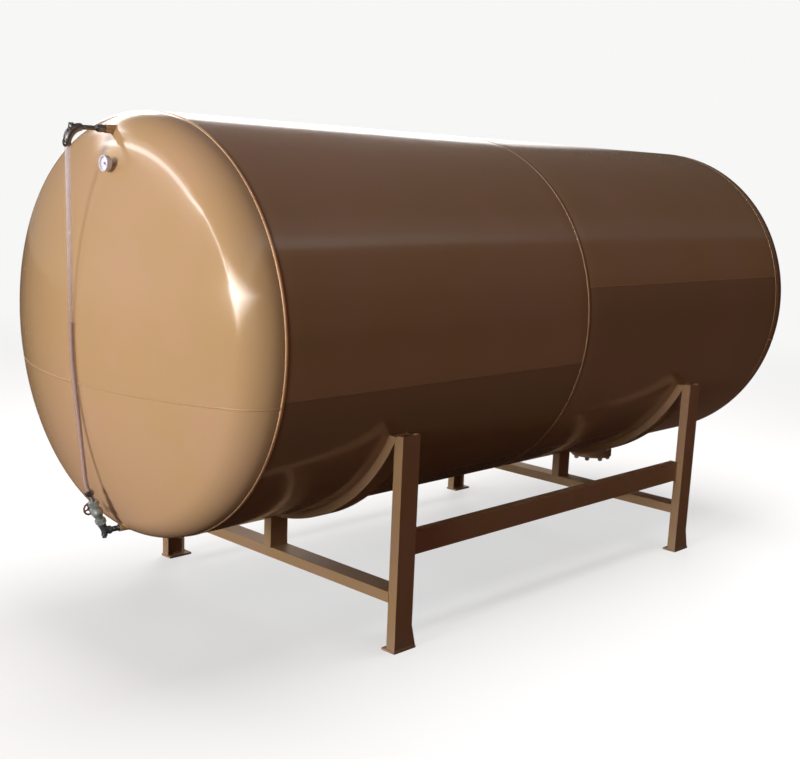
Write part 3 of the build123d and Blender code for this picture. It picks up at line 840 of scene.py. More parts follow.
def lengthwise_path(start, end, turn, sizes):
    out = Vector((0.0, cos(turn), sin(turn)))
    path = []
    for i in range(61):
        x = start + BEAD_STOP + (end - start - 2 * BEAD_STOP) * i / 60
        radius = PLATE_RADIUS - dent_at((x, out.y, out.z), sizes.dent)
        radius -= seam_dip(min(x - start, end - x), sizes) + BEAD_SUNK
        path.append((Vector((x, 0, AXIS_Z)) + out * radius, out))
    return path


class TANK_OT_courses(bpy.types.Operator):
    """Builds the two rolled courses of the shell"""
    bl_idname = "tank.courses"
    bl_label = "Shell courses"

    def execute(self, context):
        for name, start, end, turn, step in COURSES:
            # The course's paint carries painted shade and a painted highlight about its lengthwise seam.
            paint = tank_paint(name + "_paint", seam=(turn, step))
            mesh = course_mesh(name, start, end, context.scene.tank_sizes)
            shown(name, mesh, paint, "shell_paint", "shell_" + name)
        return {"FINISHED"}


class TANK_OT_ends(bpy.types.Operator):
    """Builds the dished ends, each from an upper and a lower plate"""
    bl_idname = "tank.ends"
    bl_label = "Dished ends"

    def execute(self, context):
        for end, seam, way in (("front", FRONT_SEAM, -1), ("rear", REAR_SEAM, 1)):
            for plate in ("upper", "lower"):
                node = end + "_end_" + plate
                mesh = end_mesh(node, seam, way, plate == "upper", context.scene.tank_sizes)
                shown(node + "_plate", mesh, tank_paint(), "shell_paint", node)
        return {"FINISHED"}


class TANK_OT_shell_welds(bpy.types.Operator):
    """Lays the round, level and lengthwise weld beads of the shell"""
    bl_idname = "tank.shell_welds"
    bl_label = "Shell welds"

    def execute(self, context):
        sizes = context.scene.tank_sizes
        wide, high = sizes.bead_width, sizes.bead_height
        for name, seam, paint, width, height, seed in ROUND_WELDS:
            weld(name, [girth_path(seam, sizes)], paint(), wide * width, high * height, "shell_paint", seed)
        levels = [chord_path(FRONT_SEAM, -1, sizes), chord_path(REAR_SEAM, 1, sizes)]
        weld("end_plate_welds", levels, painted_bead(), wide * 0.6, 0.0018, "shell_paint", 5)
        lengths = [lengthwise_path(*course[1:4], sizes) for course in COURSES]
        weld("lengthwise_welds", lengths, painted_bead(), wide * 0.5, 0.0013, "shell_paint", 9)
        return {"FINISHED"}


# The stand

PLACES = ("front", "rear")
STAND_NODES = [
    place + "_" + part
    for place in PLACES
    for part in ("cradle", "cross_beam", "centre_post", "near_leg", "far_leg",
                 "near_base_plate", "far_base_plate")
] + ["near_side_beam", "far_side_beam"]

# Share of the cradle's wrap that is welded, and how far a leg's fillets keep from its rounded corners
WELDED_WRAP = 0.985
CORNER_X, CORNER_Z = 0.004, 0.002


def cradle_caps(place):
    """The small plates that close the cradle's open ends, between its rolled plate and the shell."""
    low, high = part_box(place + "_cradle")
    front, back = low.x + 0.001, high.x - 0.001
    bm = bmesh.new()
    for side in (-1, 1):
        rows = []
        for z in (high.z - 0.005, high.z):
            inner = sqrt((TANK_RADIUS + 0.0006) ** 2 - (AXIS_Z - z) ** 2)
            outer = sqrt((TANK_RADIUS + CRADLE_RISE - 0.001) ** 2 - (AXIS_Z - z) ** 2)
            corners = ((front, inner), (back, inner), (back, outer), (front, outer))
            rows.append([bm.verts.new((x, side * y, z)) for x, y in corners])
        skin_over(bm, rows)
        bm.faces.new(rows[0])
        bm.faces.new(rows[1])
    bmesh.ops.recalc_face_normals(bm, faces=bm.faces)
    bmesh.ops.bevel(bm, geom=bm.edges[:], offset=0.0012, segments=2, affect="EDGES", clamp_overlap=True)
    return mesh_of(bm, place + "_cradle_caps", 50)


def cradle_welds(place):
    """Fillets along both edges of a cradle's rolled plate, where it meets the shell."""
    low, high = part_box(place + "_cradle")
    half_wrap = acos((AXIS_Z - high.z) / (TANK_RADIUS + CRADLE_RISE))
    paths = []
    for x, way in ((low.x, -1), (high.x, 1)):
        path = []
        for i in range(97):
            turn = -pi / 2 + half_wrap * (2 * i / 96 - 1) * WELDED_WRAP
            out = Vector((0.0, cos(turn), sin(turn)))
            facing = (out + Vector((way, 0, 0))).normalized()
            path.append((Vector((x, 0, AXIS_Z)) + out * TANK_RADIUS, facing))
        paths.append(path)
    return paths


def frame_welds(place):
    """Fillets of a frame's legs on its cross beam and foot plates, and of its centre post."""
    beam_low, beam_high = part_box(place + "_cross_beam")
    foot, top = beam_low.z, beam_high.z
    runs = []
    for side, leg in ((-1, "_near_leg"), (1, "_far_leg")):
        low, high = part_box(place + leg)
        face, outer = (low.y, high.y) if side > 0 else (high.y, low.y)
        for z, up in ((top, 1), (foot, -1)):
            runs.append(((low.x + CORNER_X, face, z), (high.x - CORNER_X, face, z), (0, -side, up)))
        for x, way in ((low.x, -1), (high.x, 1)):
            runs.append(((x, face, foot + CORNER_Z), (x, face, top - CORNER_Z), (way, -side, 0)))
        runs.append(((low.x, outer, low.z), (high.x, outer, low.z), (0, side, 1)))
        for x, way in ((low.x, -1), (high.x, 1)):
            runs.append(((x, face, low.z), (x, outer, low.z), (way, 0, 1)))
    low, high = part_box(place + "_centre_post")
    runs.append(((low.x, low.y, top), (high.x, low.y, top), (0, -1, 1)))
    for x, way in ((low.x, -1), (high.x, 1)):
        runs.append(((x, low.y, top), (x, high.y, top), (way, 0, 1)))
    return [straight(*run) for run in runs]


def side_beam_welds(side, node):
    """Fillets round both ends of a side beam, on the legs."""
    low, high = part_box(node)
    web, toe = (low.y, high.y) if side < 0 else (high.y, low.y)
    runs = []
    for x, way in ((low.x, 1), (high.x, -1)):
        runs.append(((x, web, low.z), (x, web, high.z), (way, side, 0)))
        runs.append(((x, web, high.z), (x, toe, high.z), (way, 0, 1)))
        runs.append(((x, web, low.z), (x, toe, low.z), (way, 0, -1)))
    return [straight(*run) for run in runs]


class TANK_OT_stand(bpy.types.Operator):
    """Builds the cradles, legs, beams, posts and foot plates with rounded edges"""
    bl_idname = "tank.stand"
    bl_label = "Stand"

    def execute(self, context):
        for node in STAND_NODES:
            softened(node, context.scene.tank_stand.edge)
        for place in PLACES:
            shown(place + "_cradle_caps", cradle_caps(place), stand_paint(), "frame_paint")
        return {"FINISHED"}


def softened(node, edge=0.0015):
    """A solid in the stand's paint, with its edges rounded."""
    shown(node + "_steel", soft_edges(node, edge), stand_paint(), "frame_paint", node)


class TANK_OT_stand_welds(bpy.types.Operator):
    """Lays the fillet welds where the stand's members meet each other and the shell"""
    bl_idname = "tank.stand_welds"
    bl_label = "Stand welds"

    def execute(self, context):
        fillet = context.scene.tank_stand.fillet
        paths = []
        for place in PLACES:
            paths += cradle_welds(place) + frame_welds(place)
        paths += side_beam_welds(-1, "near_side_beam") + side_beam_welds(1, "far_side_beam")
        weld("stand_welds", paths, painted_bead(), fillet, fillet * 0.3, "frame_paint", 11)
        return {"FINISHED"}


# The bottom outlet

@shared_group("GeometryNodeTree", [
    ("Geometry", SHAPE, None), ("Circle", NUMBER, 0.12), ("Count", WHOLE, 8), ("Turn", NUMBER, 0.0),
    ("Centre", VECTOR, (0, 0, 0)), ("Material", FINISH, None),
], [("Geometry", SHAPE)])
def flange_bolts(tree, bolt, sink):
    """A bolt with its washers and nuts at each point of a circle."""
    holes = Step(tree, "GeometryNodeCurvePrimitiveCircle", {"mode": "RADIUS"}, Resolution=bolt["Count"],
                 Radius=bolt["Circle"])[0]
    spin = Step(tree, "ShaderNodeCombineXYZ", Z=bolt["Turn"])[0]
    holes = Step(tree, "GeometryNodeTransform", Geometry=holes, Translation=bolt["Centre"], Rotation=spin)[0]
    points = Step(tree, "GeometryNodeCurveToPoints", {"mode": "EVALUATED"}, Curve=holes)[0]
    bolts = Step(tree, "GeometryNodeInstanceOnPoints", Points=points, Instance=bolt["Geometry"])[0]
    sink.put(Geometry=real_pieces(bolts, bolt["Material"]))


class TANK_OT_outlet(bpy.types.Operator):
    """Finishes the bottom outlet: neck, flange, gasket, blind flange and drain plug"""
    bl_idname = "tank.outlet"
    bl_label = "Bottom outlet"

    def execute(self, context):
        paint_mesh(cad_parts["outlet_neck"].data, stand_paint())
        softened("outlet_flange")
        softened("outlet_blind_flange")
        paint_mesh(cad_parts["outlet_gasket"].data, grained("gasket_rubber"))
        plug = soft_edges("outlet_drain_plug", 0.001)
        shown("outlet_plug_steel", plug, grained("dark_steel"), "dark_steel", "outlet_drain_plug")
        low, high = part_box("outlet_neck")
        centre, neck = (low.x + high.x) / 2, (high.x - low.x) / 2
        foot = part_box("outlet_flange")[1].z
        below, around = [], []
        for c, s in loop(96):
            out = Vector((c, s, 0.0))
            below.append((Vector((centre, 0, foot)) + out * neck, (out + UP).normalized()))
            y = neck * out.y
            rise = AXIS_Z - sqrt(TANK_RADIUS ** 2 - y ** 2)
            around.append((Vector((centre + neck * out.x, y, rise)), (out - UP).normalized()))
        weld("outlet_welds", [below, around], painted_bead(), 0.01, 0.0032, "frame_paint", 13)
        return {"FINISHED"}


WASHER = 0.003


class TANK_OT_outlet_bolts(bpy.types.Operator):
    """Sets bolts, washers and nuts round the bottom outlet's flanges"""
    bl_idname = "tank.outlet_bolts"
    bl_label = "Outlet bolts"

    def execute(self, context):
        sizes = context.scene.tank_outlet
        low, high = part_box("outlet_blind_flange")[0].z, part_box("outlet_flange")[1].z
        size, foot = sizes.bolt, (0, 0, 0)
        shank = [(low - 0.024, size * 0.85), (low - 0.022, size), (high + 0.006, size)]
        parts = [(rod, foot, UP, shank, 20)]
        for start, end in ((low - WASHER, low), (high, high + WASHER)):
            parts.append((rod, foot, UP, [(start, size * 1.85), (end, size * 1.85)], 24))
        for start, end in ((low - 0.019, low - WASHER), (high + WASHER, high + 0.0155)):
            parts.append((hex_prism, foot, UP, size * 3.0, start, end, size * 0.16))
        steel = grained("galvanised_bolts")
        mesh = through_nodes("outlet_bolts", mesh_of(built(*parts), "outlet_bolt"), flange_bolts(), {
            "Circle": sizes.circle, "Count": sizes.count, "Turn": pi / sizes.count,
            "Centre": (middle_of("outlet_flange")[0], 0.0, 0.0), "Material": steel,
        })
        shown("outlet_bolts", mesh, steel, "valve_steel")
        return {"FINISHED"}


def built(*parts):
    """A bmesh of several bars, each given as the function that makes it and its measures."""
    bm = bmesh.new()
    for make, *measures in parts:
        make(bm, *measures)
    return bm


# The sight tube

TUBE_LOW, TUBE_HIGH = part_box("sight_tube")
TUBE_RADIUS = TUBE_HIGH.y
TUBE_BORE = 0.01
TUBE_X = TUBE_LOW.x + TUBE_RADIUS
CROWN_BEND = CROWN_RADIUS + 0.0003 + TUBE_RADIUS
FOOT_BEND = 0.25
LEAN = radians(21.5)
FOOT_DROP = 0.735
FOOT_STANDOFF = 0.081
CROWN_CENTRE = dish_shape(SHELL_RADIUS, CROWN_RADIUS, KNUCKLE_RADIUS)[0]
CROWN_REACH = CROWN_CENTRE + sqrt(CROWN_RADIUS ** 2 - FOOT_DROP ** 2)
FOOT = Vector((FRONT_SEAM - CROWN_REACH - FOOT_STANDOFF, 0.0, AXIS_Z - FOOT_DROP))
DOWN = Vector((sin(LEAN), 0.0, -cos(LEAN)))


def tube_line():
    """Centre line of the sight tube from its top to its foot, in the plane y = 0."""
    crown = Vector((TUBE_X + CROWN_BEND, 0.0, AXIS_Z))
    foot = Vector((FOOT.x + FOOT_BEND * cos(LEAN), 0.0, FOOT.z + FOOT_BEND * sin(LEAN)))
    across, along = foot.x - crown.x, foot.z - crown.z
    turn = atan2(along, across) + acos((FOOT_BEND - CROWN_BEND) / hypot(across, along))

    def on_arc(centre, bend, angle):
        return centre - Vector((cos(angle), 0.0, sin(angle))) * bend

    top = Vector((TUBE_X, 0.0, TUBE_HIGH.z))
    line = [top.lerp(on_arc(crown, CROWN_BEND, 0.0), i / 16) for i in range(16)]
    line += [on_arc(crown, CROWN_BEND, turn * i / 24) for i in range(25)]
    line += [on_arc(crown, CROWN_BEND, turn).lerp(on_arc(foot, FOOT_BEND, turn), i / 6) for i in range(1, 6)]
    return line + [on_arc(foot, FOOT_BEND, turn + (LEAN - turn) * i / 12) for i in range(13)]


def shade_light(alpha, share):
    """An alpha that lets more light through than it shows, as clear plastic does."""
    ray = Step(alpha.tree, "ShaderNodeLightPath")["Is Shadow Ray"]
    mix = Step(alpha.tree, "ShaderNodeMix", {"data_type": "FLOAT"}, Factor=ray, i2=alpha, i3=alpha * share)
    return mix[0]


def clear_plastic(level):
    """Clear tube gone milky with age, browner below the level where it has stood full."""
    material, tree, shader = new_material("clear_tube")
    place = place_in(tree)
    haze = noise_at(place, 26.0, 3.0)
    pale = blend(between(haze, 0.35, 0.7), (0.73, 0.65, 0.66), (0.65, 0.555, 0.555))
    stood = between(axis_of(place, "Z"), level + 0.65, level - 0.1)
    shader.put(Base_Color=blend(stood, pale, (0.46, 0.325, 0.275)), Roughness=haze * 0.16 + 0.08,
               Alpha=shade_light(haze * 0.12 + 0.24, 0.25), IOR=1.45)
    return material


def tube_contents():
    """Murky brown fluid in the lower part of the tube."""
    material, tree, shader = new_material("tube_contents")
    place = place_in(tree)
    shader.put(Base_Color=blend(noise_at(place, 18.0), (0.33, 0.2, 0.17), (0.42, 0.28, 0.24)),
               Roughness=noise_at(place, 40.0) * 0.1 + 0.1,
               Alpha=shade_light(noise_at(place, 12.0) * 0.1 + 0.85, 0.3))
    return material


class TANK_OT_sight_tube(bpy.types.Operator):
    """Draws the clear gauge tube over the crown and fills its lower part"""
    bl_idname = "tank.sight_tube"
    bl_label = "Sight tube"

    def execute(self, context):
        sizes = context.scene.tank_gauge
        line = tube_line()
        wall = mesh_of(built((swept, line, TUBE_RADIUS, 32, TUBE_BORE)), "sight_tube_wall", 50)
        shown("sight_tube_wall", wall, clear_plastic(sizes.level), "clear_tube", "sight_tube")
        filled = [p for p in line if p.z <= sizes.level]
        meniscus = [filled[0] + Vector((0, 0, 0.003)), filled[0] + Vector((0, 0, 0.001))]
        widths = [sizes.bore * 0.98] + [sizes.bore] * len(filled)
        fluid = mesh_of(built((swept, meniscus + filled[1:], widths, 24)), "tube_contents", 50)
        shown("tube_contents", fluid, tube_contents(), "clear_tube")
        return {"FINISHED"}


# The gauge's fittings

def screw_line(start, end, radius, pitch=0.0018, depth=0.0007):
    """The outline of a threaded length, as (along, radius) pairs."""
    count = max(2, round((end - start) / pitch))
    line = []
    for i in range(count):
        line.append((start + (end - start) * i / count, radius - depth))
        line.append((start + (end - start) * (i + 0.5) / count, radius))
    return line + [(end, radius - depth)]


def top_elbow():
    """Cast elbow at the tube's top, with a bead round each mouth and a square plug in its boss."""
    low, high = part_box("gauge_top_elbow")
    bend, radius = 0.068, 0.017
    centre = Vector((TUBE_X + bend, 0.0, middle_of("gauge_top_nipple")[2] - bend))
    arc = [centre + Vector((-sin(pi / 2 * i / 14), 0.0, cos(pi / 2 * i / 14))) * bend for i in range(15)]
    mouth = [(0.0, 0.0150), (0.0008, 0.0172), (0.0022, 0.0179),
             (0.011, 0.0179), (0.0130, 0.0172), (0.014, 0.0165)]
    quarter = arc[7]
    head = high.z - quarter.z
    boss = [(0.0, 0.0128), (head - 0.011, 0.0128), (head - 0.009, 0.0120)]
    plug = (quarter.x, 0, quarter.z)
    return built(
        (swept, arc, [radius - 0.0005 + 0.0045 * sin(pi * i / 14) for i in range(15)], 32),
        (rod, (TUBE_X, 0, low.z), UP, mouth, 36),
        (rod, arc[-1], (-1, 0, 0), [(a - 0.0005, r + 0.0018) for a, r in mouth], 36),
        (rod, plug, UP, boss, 28),
        (hex_prism, plug, UP, 0.0185, head - 0.009, head, 0.001))


def top_union():
    """Union nut between the nipple and the coupling."""
    low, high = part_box("gauge_top_union")
    middle = (0.0, 0.0, (low.z + high.z) / 2)
    return built(
        (hex_prism, middle, ALONG, 0.0338, low.x + 0.008, high.x - 0.012, 0.0022),
        (rod, middle, ALONG, [(low.x, 0.0120), (low.x + 0.001, 0.0138), (low.x + 0.0095, 0.0150)], 32),
        (rod, middle, ALONG, [(high.x - 0.013, 0.0160), (high.x - 0.001, 0.0160), (high.x, 0.0150)], 32))


def nipple(node, radius):
    """A short pipe nipple, threaded at both ends."""
    low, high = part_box(node)
    length = high.x - low.x
    tip = min(0.014, length * 0.35)
    line = screw_line(0.0, tip, radius) + [(tip + 0.001, radius), (length - tip - 0.001, radius)]
    line += screw_line(length - tip, length, radius)
    return built((rod, (low.x, *middle_of(node)[1:]), ALONG, line, 28))


def top_nipple():
    return nipple("gauge_top_nipple", 0.0105)


def bottom_nipple():
    return nipple("gauge_bottom_nipple", 0.0135)


def bottom_gland():
    """Gland nut at the tube's foot, with the ring that grips the tube."""
    return built(
        (hex_prism, FOOT, DOWN, 0.0358, 0.005, 0.026, 0.0022),
        (rod, FOOT, DOWN, [(0.0005, 0.0145), (0.001, 0.0156), (0.0065, 0.0160)], 32))


def bottom_tail():
    """Threaded tail between the gland and the valve."""
    waist = [(0.044, 0.0118), (0.045, 0.0118)]
    line = screw_line(0.026, 0.043, 0.012) + waist + screw_line(0.046, 0.060, 0.012)
    return built((rod, FOOT, DOWN, line, 28))


VALVE_START, VALVE_END = 0.060, 0.184
VALVE_MIDDLE = (VALVE_START + VALVE_END) / 2
VALVE_CENTRE = FOOT + DOWN * VALVE_MIDDLE


def valve_body():
    """Globe valve body: hexagon ends, a swelling middle and a bonnet with its nut."""
    parts = []
    for start, end in ((VALVE_START, VALVE_START + 0.024), (VALVE_END - 0.024, VALVE_END)):
        parts.append((hex_prism, FOOT, DOWN, 0.0458, start, end, 0.0026))
    body = []
    for i in range(25):
        along = VALVE_START + 0.020 + (VALVE_END - VALVE_START - 0.040) * i / 24
        body.append((along, 0.0185 + 0.0103 * exp(-(((along - VALVE_MIDDLE) / 0.0195) ** 2))))
    bonnet = [(0.010, 0.0215), (0.024, 0.0185), (0.027, 0.0148), (0.030, 0.0148)]
    return built(
        *parts,
        (rod, FOOT, DOWN, body, 40),
        (rod, VALVE_CENTRE, SIDEWAYS, bonnet, 36),
        (hex_prism, VALVE_CENTRE, SIDEWAYS, 0.0285, 0.028, 0.0365, 0.0018),
        (hex_prism, VALVE_CENTRE, SIDEWAYS, 0.0200, 0.0365, 0.044, 0.0014))


def valve_stem():
    """Threaded stem between the bonnet and the wheel."""
    line = screw_line(0.044, 0.060, 0.005, 0.0015, 0.0006) + [(0.0605, 0.0046), (0.064, 0.0046)]
    return built((rod, VALVE_CENTRE, SIDEWAYS, line, 20))


RIM_STEPS, RIM_CORNERS, SCALLOPS = 72, 14, 12


def valve_wheel():
    """Spoked hand wheel with a scalloped rim and a nut on its hub."""
    centre = VALVE_CENTRE + Vector((0.0, 0.070, 0.0))
    bm = bmesh.new()
    across = SIDEWAYS.cross(DOWN).normalized()
    rings = []
    for i in range(RIM_STEPS):
        turn = 2 * pi * i / RIM_STEPS
        out = DOWN * cos(turn) + across * sin(turn)
        reach = 0.0268 + 0.0006 * cos(SCALLOPS * turn)
        thick = 0.0046 + 0.0003 * cos(SCALLOPS * turn)
        rings.append([bm.verts.new(centre + out * (reach + thick * c) + SIDEWAYS * thick * s)
                      for c, s in circle(RIM_CORNERS)])
    for a, b in zip(rings, rings[1:] + rings[:1]):
        for k in range(RIM_CORNERS):
            m = (k + 1) % RIM_CORNERS
            bm.faces.new((a[k], b[k], b[m], a[m]))
    for spoke in range(4):
        out = DOWN * cos(pi / 2 * spoke) + across * sin(pi / 2 * spoke)
        line = [centre + out * (0.006 + 0.019 * i / 6) for i in range(7)]
        swept(bm, line, [0.0046 - 0.0008 * sin(pi * i / 6) for i in range(7)], 12)
    hub = centre - Vector((0.0, 0.006, 0.0))
    rod(bm, hub, SIDEWAYS, [(0.0, 0.0078), (0.001, 0.0088), (0.0085, 0.0088), (0.0092, 0.0080)], 28)
    hex_prism(bm, hub, SIDEWAYS, 0.0095, 0.0090, 0.012, 0.0008)
    return bm


def bottom_elbow():
    """Cast elbow below the valve, with beads at its mouths and a boss for the drain plug."""
    low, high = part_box("gauge_bottom_elbow")
    z = middle_of("gauge_bottom_nipple")[2]
    corner = FOOT + DOWN * ((FOOT.z - z) / cos(LEAN))
    start = FOOT + DOWN * VALVE_END
    bend = 0.03
    before, after = corner - DOWN * bend, corner + ALONG * bend
    arc = []
    for i in range(15):
        t = i / 14
        arc.append(before * (1 - t) ** 2 + corner * 2 * t * (1 - t) + after * t ** 2)
    mouth = [(0.0, 0.0165), (0.001, 0.0188), (0.003, 0.0199),
             (0.012, 0.0199), (0.0145, 0.0185), (0.016, 0.0172)]
    run = (corner - start).length
    return built(
        (swept, [start.lerp(before, i / 4) for i in range(4)] + arc, 0.0178, 32),
        (swept, [corner - DOWN * 0.018, corner, corner + ALONG * 0.018], [0.0150, 0.0194, 0.0150], 28),
        (rod, start, DOWN, [(a, r) for a, r in mouth if a < run], 36),
        (rod, (high.x, 0, z), (-1, 0, 0), mouth, 36),
        (rod, (corner.x, 0, low.z), UP, [(0.0, 0.0140), (0.001, 0.0149), (0.012, 0.0149)], 30))


def drain_plug():
    """Hexagon plug in the elbow's boss."""
    foot = (*middle_of("gauge_drain_plug")[:2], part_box("gauge_drain_plug")[0].z)
    return built(
        (hex_prism, foot, UP, 0.0188, 0.0, 0.0085, 0.0012),
        (rod, foot, UP, screw_line(0.0085, 0.011, 0.0088, 0.0012, 0.0005), 24))


# The fittings: piece, maker, angle of its sharp edges in degrees, finish, solid it replaces, and slot
FITTINGS = [
    ("top_elbow", top_elbow, 35, "dark_steel", "gauge_top_elbow", "dark_steel"),
    ("top_union", top_union, 35, "dark_steel", "gauge_top_union", "dark_steel"),
    ("top_nipple", top_nipple, 20, "dark_steel", "gauge_top_nipple", "dark_steel"),
    ("bottom_gland_nut", bottom_gland, 35, "dark_steel", "gauge_bottom_gland", "dark_steel"),
    ("bottom_tail", bottom_tail, 20, "dark_steel", "gauge_bottom_tail", "dark_steel"),
    ("valve_body", valve_body, 35, "valve_metal", "gauge_bottom_valve", "valve_steel"),
    ("valve_stem", valve_stem, 20, "bright_metal", "gauge_bottom_stem", "dark_steel"),
    ("valve_wheel", valve_wheel, 35, "wheel_paint", "gauge_bottom_wheel", "wheel_red"),
    ("bottom_elbow", bottom_elbow, 35, "dark_casting", "gauge_bottom_elbow", "valve_steel"),
    ("bottom_drain_plug", drain_plug, 30, "bright_metal", "gauge_drain_plug", "dark_steel"),
    ("bottom_nipple", bottom_nipple, 20, "dark_casting", "gauge_bottom_nipple", "valve_steel"),
]


class TANK_OT_fittings(bpy.types.Operator):
    """Builds the fittings at the top and foot of the gauge tube"""
    bl_idname = "tank.fittings"
    bl_label = "Gauge fittings"

    def execute(self, context):
        for name, make, sharp, finish, node, slot in FITTINGS:
            shown(name, mesh_of(make(), name, sharp), grained(finish), slot, node)
        couplings = ["gauge_top_coupling", "gauge_bottom_coupling"]
        for node in couplings:
            softened(node)
        rings = []
        for node in couplings + ["dial_stem"]:
            low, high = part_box(node)
            rings.append(ring_on_end((low.y + high.y) / 2, (low.z + high.z) / 2, (high.y - low.y) / 2))
        weld("fitting_welds", rings, painted_bead(), 0.008, 0.0028, "shell_paint", 17)
        return {"FINISHED"}


# The dial gauge

DIAL_LOW, DIAL_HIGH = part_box("dial_case")
DIAL_CENTRE = Vector((DIAL_LOW.x, *middle_of("dial_case")[1:]))
DIAL_FACE_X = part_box("dial_glass")[1].x + 0.005
DIAL_RING = 0.0262
DIAL_START = radians(-135)
DIAL_SWEEP = radians(270)


def dial_print():
    """White printed card of the dial."""
    material, tree, shader = new_material("dial_card")
    place = place_in(tree)
    shader.put(Base_Color=blend(noise_at(place, 60.0, 3.0), (0.86, 0.85, 0.9), (0.78, 0.76, 0.8)),
               Roughness=noise_at(place, 90.0) * 0.2 + 0.35)
    return material


def clear_glass():
    """Clear glass with a little dust at its rim."""
    material, tree, shader = new_material("dial_glass")
    dust = noise_at(place_in(tree), 80.0, 3.0) * 0.08
    shader.put(Base_Color=(0.9, 0.92, 0.96), Roughness=dust + 0.02, Alpha=dust + 0.06, IOR=1.5)
    return material


def turned(name, x, line, around=64):
    """A round piece of the dial: (along, radius) pairs from a place on X, closed where the radius is 0."""
    bm = bmesh.new()
    along, side, other = axes_across(ALONG)
    origin = Vector((x, DIAL_CENTRE.y, DIAL_CENTRE.z))
    rings = []
    for distance, radius in line:
        centre = origin + along * distance
        rings.append(ring(bm, centre, side, other, radius, around) if radius else [bm.verts.new(centre)])
    for a, b in zip(rings, rings[1:]):
        for i in range(around):
            j = (i + 1) % around
            corners = [a[i % len(a)], a[j % len(a)], b[j % len(b)], b[i % len(b)]]
            corners = list(dict.fromkeys(corners))
            if len(corners) > 2:
                bm.faces.new(corners)
    return mesh_of(bm, name, 40)


def dial_case():
    """Round case with a rolled bezel."""
    back = DIAL_HIGH.x - DIAL_LOW.x
    wall = back - 0.004
    return turned("dial_case", DIAL_CENTRE.x, [
        (wall, 0.0), (wall, 0.0308), (0.0028, 0.0308), (0.0026, 0.0296), (0.0010, 0.0302), (0.0002, 0.0312),
        (0.0, 0.0324), (0.0006, 0.0340), (0.0022, 0.0349),
        (0.0070, 0.0349), (0.0082, 0.0340), (0.0088, 0.0334),
        (wall, 0.0334), (back - 0.001, 0.0322), (back, 0.0300), (back, 0.0),
    ])


def dial_glass():
    """Flat glass with a softly ground rim."""
    low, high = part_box("dial_glass")
    back = high.x - low.x
    return turned("dial_glass", low.x, [
        (0.0, 0.0), (0.0, 0.0296), (0.0006, 0.0304), (back - 0.0006, 0.0304), (back, 0.0296), (back, 0.0)])


def dial_card():
    """Card on its works, brought forward close behind the glass."""
    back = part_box("dial_face")[1].x - DIAL_FACE_X
    return turned("dial_card", DIAL_FACE_X, [
        (0.0, 0.0), (0.0, 0.0298), (0.0004, 0.0302), (0.0016, 0.0302), (0.0020, 0.0285),
        (back, 0.0285), (back, 0.0),
    ])


def on_dial(angle, reach, proud=0.0):
    """A place on the dial's face: angle clockwise from the top as the reader sees it."""
    side, rise = reach * sin(angle), reach * cos(angle)
    return Vector((DIAL_FACE_X - proud, DIAL_CENTRE.y - side, DIAL_CENTRE.z + rise))


def flat_bar(bm, angle, inner, outer, wide, narrow, thick):
    """A thin raised bar along the dial's radius, its width going from wide to narrow."""
    square = Vector((0.0, -cos(angle), -sin(angle)))
    rows = []
    for proud in (0.0, thick):
        near, far = on_dial(angle, inner, proud), on_dial(angle, outer, proud)
        corners = (near - square * wide / 2, near + square * wide / 2,
                   far + square * narrow / 2, far - square * narrow / 2)
        rows.append([bm.verts.new(corner) for corner in corners])
    skin_over(bm, rows)
    bm.faces.new(rows[0])
    bm.faces.new(rows[1])


def dial_number(number, angle):
    """A number's raised mesh, upright in its place on the dial."""
    letters = bpy.data.curves.new("number", "FONT")
    letters.body = str(number)
    letters.size = 0.0068
    letters.extrude = 0.0001
    letters.resolution_u = 3
    letters.align_x = letters.align_y = "CENTER"
    holder = bpy.data.objects.new("number", letters)
    bpy.context.scene.collection.objects.link(holder)
    flat = plain_mesh(holder)
    turn = Matrix(((0, 0, -1), (-1, 0, 0), (0, 1, 0))).to_4x4()
    flat.transform(Matrix.Translation(on_dial(angle, DIAL_RING - 0.0082, 0.00012)) @ turn)
    return flat


def dial_marks():
    """Ticks round the dial and its plain numbers."""
    bm = bmesh.new()
    for i in range(51):
        main = i % 10 == 0
        length = 0.0042 if main else (0.003 if i % 5 == 0 else 0.0018)
        width = 0.0009 if main else 0.0004
        flat_bar(bm, DIAL_START + DIAL_SWEEP * i / 50, DIAL_RING - length, DIAL_RING, width, width, 0.00025)
    marks = mesh_of(bm, "dial_marks")
    bm = bmesh.new()
    bm.from_mesh(marks)
    for i in range(6):
        bm.from_mesh(dial_number(i * 2, DIAL_START + DIAL_SWEEP * i / 5))
    mesh = bpy.data.meshes.new("dial_marks")
    bm.to_mesh(mesh)
    bm.free()
    return mesh


def dial_needle(reading):
    """Needle with its counterweight and hub."""
    angle = DIAL_START + reading
    return mesh_of(built(
        (flat_bar, angle, 0.0, 0.0235, 0.0075, 0.0012, 0.0022),
        (flat_bar, angle, -0.0085, 0.0, 0.005, 0.0075, 0.0022),
        (rod, (DIAL_FACE_X, DIAL_CENTRE.y, DIAL_CENTRE.z), (-1, 0, 0),
         [(0.0, 0.0062), (0.0026, 0.0062), (0.0033, 0.0054)], 32)), "dial_needle")


def dial_stem():
    """Stem with a square for the spanner between the case and the end."""
    low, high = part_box("dial_stem")
    foot = (low.x, *middle_of("dial_stem")[1:])
    line = [(0.0, 0.0070), (0.001, 0.0078), (0.003, 0.0078)] + screw_line(0.013, high.x - low.x, 0.0078)
    stem = built((rod, foot, ALONG, line, 28), (hex_prism, foot, ALONG, 0.0138, 0.002, 0.013, 0.001))
    return mesh_of(stem, "dial_stem", 30)


